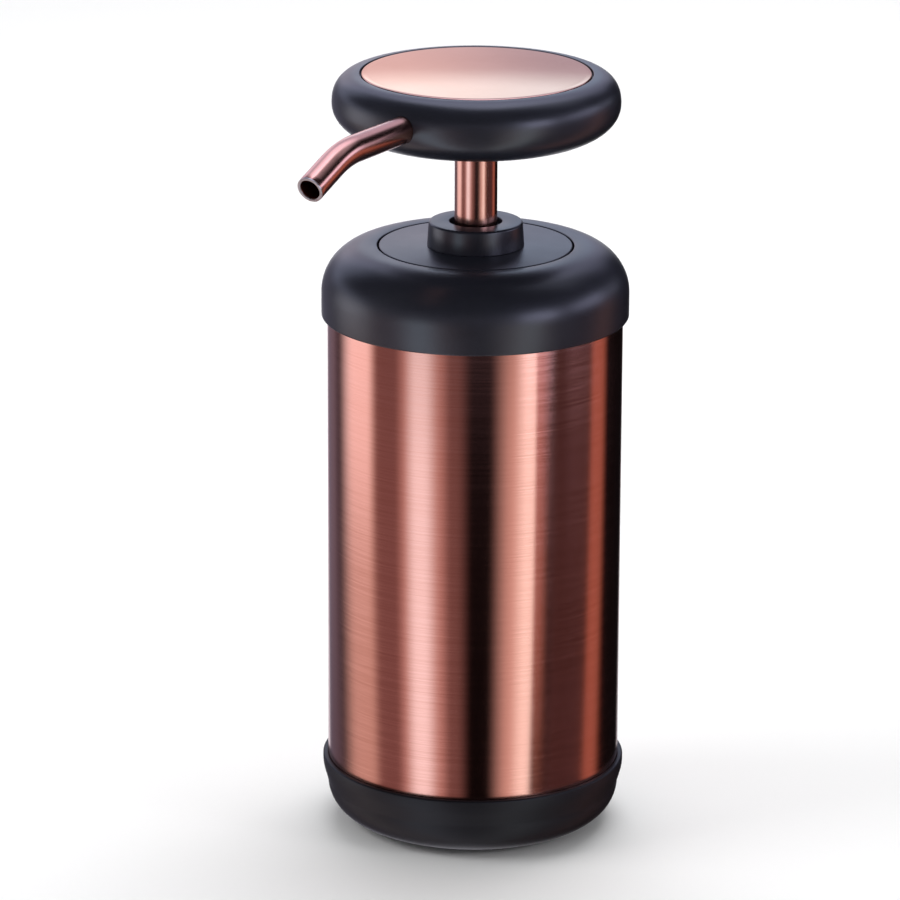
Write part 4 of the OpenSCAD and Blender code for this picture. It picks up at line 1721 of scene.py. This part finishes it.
@dataclass(frozen=True)
class Surround:
    """Dark globe with soft lights round the set, which only reflections see.

    Args:
        base: Brightness between the lights.
        panels: The lights.
        radius: Radius of the globe in metres.
        centre: Height of its centre in metres.
        sides: Number of sides.
        rows: Number of rows from the lowest to the highest point.
    """

    base: Triple = (0.006, 0.005, 0.006)
    panels: tuple[Panel, ...] = (
        # Low strips that the sleeve shows as upright bands
        Panel(-185, -128, (10, 26), -90, 8, 14, (0.138, 0.125, 0.175)),
        Panel(-118, -84, (26, 11), -90, 8, 14, (0.82, 0.67, 0.67)),
        Panel(-84, -55, (9, 14), -90, 4, 14, (0.275, 0.163, 0.175)),
        Panel(-58, -24, (12, 14), -90, 4, 14, (0.688, 0.525, 0.55)),
        Panel(-51, -33, (12, 14), -90, 4, 14, (0.86, 1.29, 1.62)),
        Panel(-28, -8, (12, 14), -90, 4, 14, (0.25, 0.156, 0.163)),
        Panel(21, 47.5, (21, 3), -90, 4, 14, (0.975, 0.8, 0.812)),
        Panel(35, 47.5, (14, 3), -90, 4, 14, (0.67, 1.06, 1.18)),
        Panel(47.5, 56, (3, 12), -30, 4, 14, (0.525, 0.275, 0.237)),
        Panel(62, 101, (10, 8), -90, 4, 14, (0.081, 0.044, 0.048)),
        Panel(101, 119, (9, 12), -90, 4, 12, (0.5, 0.213, 0.163)),
        Panel(168, 196, (10, 10), -90, 4, 12, (0.938, 0.938, 1.00)),
        # Soft boxes at the sides, and dim room light in front
        Panel(-119, -86, (22, 12), -15, 8, 10, (0.78, 0.9, 1.1)),
        Panel(-146, -90, (16, 12), 7, 18, 8, (0.5, 0.53, 0.72)),
        Panel(-160, -132, (14, 10), 14, 40, 14, (0.6, 0.65, 0.9)),
        Panel(-162, -138, (10, 10), -22, 4, 8, (0.06, 0.06, 0.08)),
        Panel(36, 62, (14, 8), 5, 22, 8, (2.9, 3.0, 4.2)),
        Panel(76, 112, (14, 8), 7, 22, 7, (1.6, 1.62, 2.3)),
        Panel(116, 134, (6, 8), 5, 15, 6, (0.5, 0.52, 0.68)),
        Panel(-80, 80, (60, 60), 5, 21, 10, (0.19, 0.18, 0.24)),
        # Sweep behind, warmer on the left, with a small box low in it and larger ones over it
        Panel(162, 208, (10, 24), 7, 24, 8, (0.63, 0.64, 0.87)),
        Panel(142, 208, (14, 24), 24, 92, 8, (0.62, 0.63, 0.90)),
        Panel(134, 214, (12, 30), 46, 92, 14, (0.9, 0.95, 1.25)),
        Panel(134, 214, (12, 30), 66, 92, 14, (0.6, 0.62, 0.8)),
        Panel(98, 138, (14, 12), 44, 84, 14, (0.42, 0.44, 0.58)),
        Panel(180, 204, (6, 14), 8, 22, 6, (0.50, 0.36, 0.29)),
        Panel(170, 190, (6, 6), 18, 23, 4, (0.65, 1.1, 1.3)),
    )
    radius: float = 1.6
    centre: float = 0.09
    sides: int = 360
    rows: int = 120

    def light(self, azimuth: float, elevation: float) -> Colour:
        """Light from one direction.

        Args:
            azimuth: Degrees to the right of the camera's own direction.
            elevation: Degrees above the table.

        Returns:
            The colour, which may be brighter than 1.
        """
        total = Vector(self.base)
        for panel in self.panels:
            total += Vector(panel.light) * panel.share(azimuth, elevation)
        return (total.x, total.y, total.z, 1.0)

    def build(self, azimuth: float) -> None:
        """Makes the globe, turned towards the camera's direction.

        Args:
            azimuth: Degrees of the camera round the dispenser.
        """
        build = bmesh.new()
        rings = []
        lights: list[float] = []
        for row in range(1, self.rows):
            elevation = 180 * row / self.rows - 90
            rise = math.radians(elevation)
            ring = []
            for side in range(self.sides):
                angle = 360 * side / self.sides
                turn = math.radians(angle + azimuth)
                reach = self.radius * math.cos(rise)
                height = self.centre + self.radius * math.sin(rise)
                ring.append(build.verts.new((reach * math.sin(turn), -reach * math.cos(turn), height)))
                lights.extend(self.light(angle, elevation))
            rings.append(ring)
        join_row(build, rings, closed=False)
        mesh = to_mesh("surround", build)
        glow = mesh.color_attributes.new(name="glow", type="FLOAT_COLOR", domain="POINT")
        glow.data.foreach_set("color", lights)
        piece = to_scene("surround", mesh)
        graph = Graph("surround")
        colour = graph.add("ShaderNodeAttribute", attribute_name="glow").outputs["Color"]
        emission = graph.add("ShaderNodeEmission", {"Color": colour, "Strength": 1.0})
        mesh.materials.append(graph.finish(emission.outputs["Emission"]))
        piece.visible_camera = False
        piece.visible_diffuse = False
        piece.visible_shadow = False
        piece.visible_transmission = False
        LOG.info("surround with %d panels", len(self.panels))


@dataclass(frozen=True)
class Lamp:
    """A soft square lamp aimed at the dispenser, which reflections don't see.

    Args:
        name: Name of the lamp.
        azimuth: Degrees to the right of the camera's own direction.
        elevation: Degrees above the table.
        distance: Metres from the dispenser.
        size: Side of the square in metres.
        power: Power in watts.
        aim_height: Height of the point on the axis that it is aimed at, in metres.
    """

    name: str
    azimuth: float
    elevation: float
    distance: float
    size: float
    power: float
    aim_height: float = 0.1

    def build(self, azimuth: float) -> None:
        """Makes the lamp.

        Args:
            azimuth: Degrees of the camera round the dispenser.
        """
        turn = math.radians(self.azimuth + azimuth)
        rise = math.radians(self.elevation)
        back = Vector((math.sin(turn) * math.cos(rise), -math.cos(turn) * math.cos(rise), math.sin(rise)))
        data = bpy.data.lights.new(self.name, "AREA")
        data.shape = "SQUARE"
        data.size = self.size
        data.energy = self.power
        lamp = to_scene(self.name, data)
        lamp.matrix_world = aimed(back * self.distance + Vector((0, 0, self.aim_height)), -back)
        lamp.visible_glossy = False
        lamp.visible_camera = False


@dataclass
class Studio:
    """Pale floor, white world, globe for the reflections and soft lamps.

    Args:
        view: The camera.
        surround: The globe of lights that reflections see.
        lamps: The lamps that light the dispenser and the floor.
        floor_size: Side of the floor in metres.
        floor_tone: Brightness of the floor.
        floor_rough: Its roughness.
        floor_specular: Level of its reflection.
        speckle_tone: Brightness of its speckles, as a share of its own.
        speckles: Speckles per metre.
        speckle_detail: Octaves of the speckles.
        ambient: Brightness of the world for diffuse light.
    """

    view: Viewpoint = field(default_factory=Viewpoint)
    surround: Surround = field(default_factory=Surround)
    lamps: tuple[Lamp, ...] = (
        Lamp("overhead", 165, 62, 1.3, 1.1, 14.0),
        Lamp("left_box", -75, 35, 1.4, 0.7, 6.0),
        Lamp("right_box", 60, 22, 1.4, 0.35, 2.5),
    )
    floor_size: float = 12.0
    floor_tone: float = 0.9
    floor_rough: float = 0.8
    floor_specular: float = 0.2
    speckle_tone: float = 0.985
    speckles: float = 700.0
    speckle_detail: float = 2.0
    ambient: float = 0.45

    def build(self) -> None:
        """Makes the camera, floor, world, globe and lamps."""
        scene = bpy.context.scene
        scene.view_settings.view_transform = "Standard"
        self.view.build()
        self.floor()
        self.world()
        self.surround.build(self.view.azimuth)
        for lamp in self.lamps:
            lamp.build(self.view.azimuth)

    def floor(self) -> None:
        """Lays the pale floor, with faint speckles in it."""
        half = self.floor_size / 2
        build = bmesh.new()
        corners = [(-half, -half, 0), (half, -half, 0), (half, half, 0), (-half, half, 0)]
        build.faces.new([build.verts.new(corner) for corner in corners])
        mesh = to_mesh("floor", build)
        piece = to_scene("floor", mesh)
        graph = Graph("floor")
        speckle = graph.noise(graph.place(), self.speckles, self.speckle_detail)
        pale = self.floor_tone
        dim = pale * self.speckle_tone
        mesh.materials.append(graph.surface({
            "Base Color": graph.blend(speckle, (dim, dim, dim, 1), (pale, pale, pale, 1)),
            "Roughness": self.floor_rough,
            "Specular IOR Level": self.floor_specular,
        }))
        piece.visible_glossy = False

    def world(self) -> None:
        """Gives the camera, reflections and clear plastic a white world, and diffuse light a softer one."""
        graph = Graph("surroundings", world=True)
        ray = graph.add("ShaderNodeLightPath").outputs
        mirrored = graph.work_out("MAXIMUM", ray["Is Camera Ray"], ray["Is Glossy Ray"])
        seen = graph.work_out("MAXIMUM", mirrored, ray["Is Transmission Ray"])
        span = {"Value": seen, "To Min": self.ambient, "To Max": 1.0}
        level = graph.add("ShaderNodeMapRange", span).outputs["Result"]
        white = graph.add("ShaderNodeBackground", {"Color": (1, 1, 1, 1), "Strength": level})
        bpy.context.scene.world = graph.finish(white.outputs["Background"])


def main() -> None:
    """Builds the dispenser's looks and its set."""
    logging.basicConfig(level=logging.INFO, format="%(name)s: %(message)s")
    for item in list(bpy.data.objects):
        bpy.data.objects.remove(item)
    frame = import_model()
    Studio().build()
    paint = Paintbox()
    for part in (Base, Flask, Shoulder, Lid, Pump, Head):
        part(paint, frame["nodes"]).build()


if __name__ == "__main__":
    main()
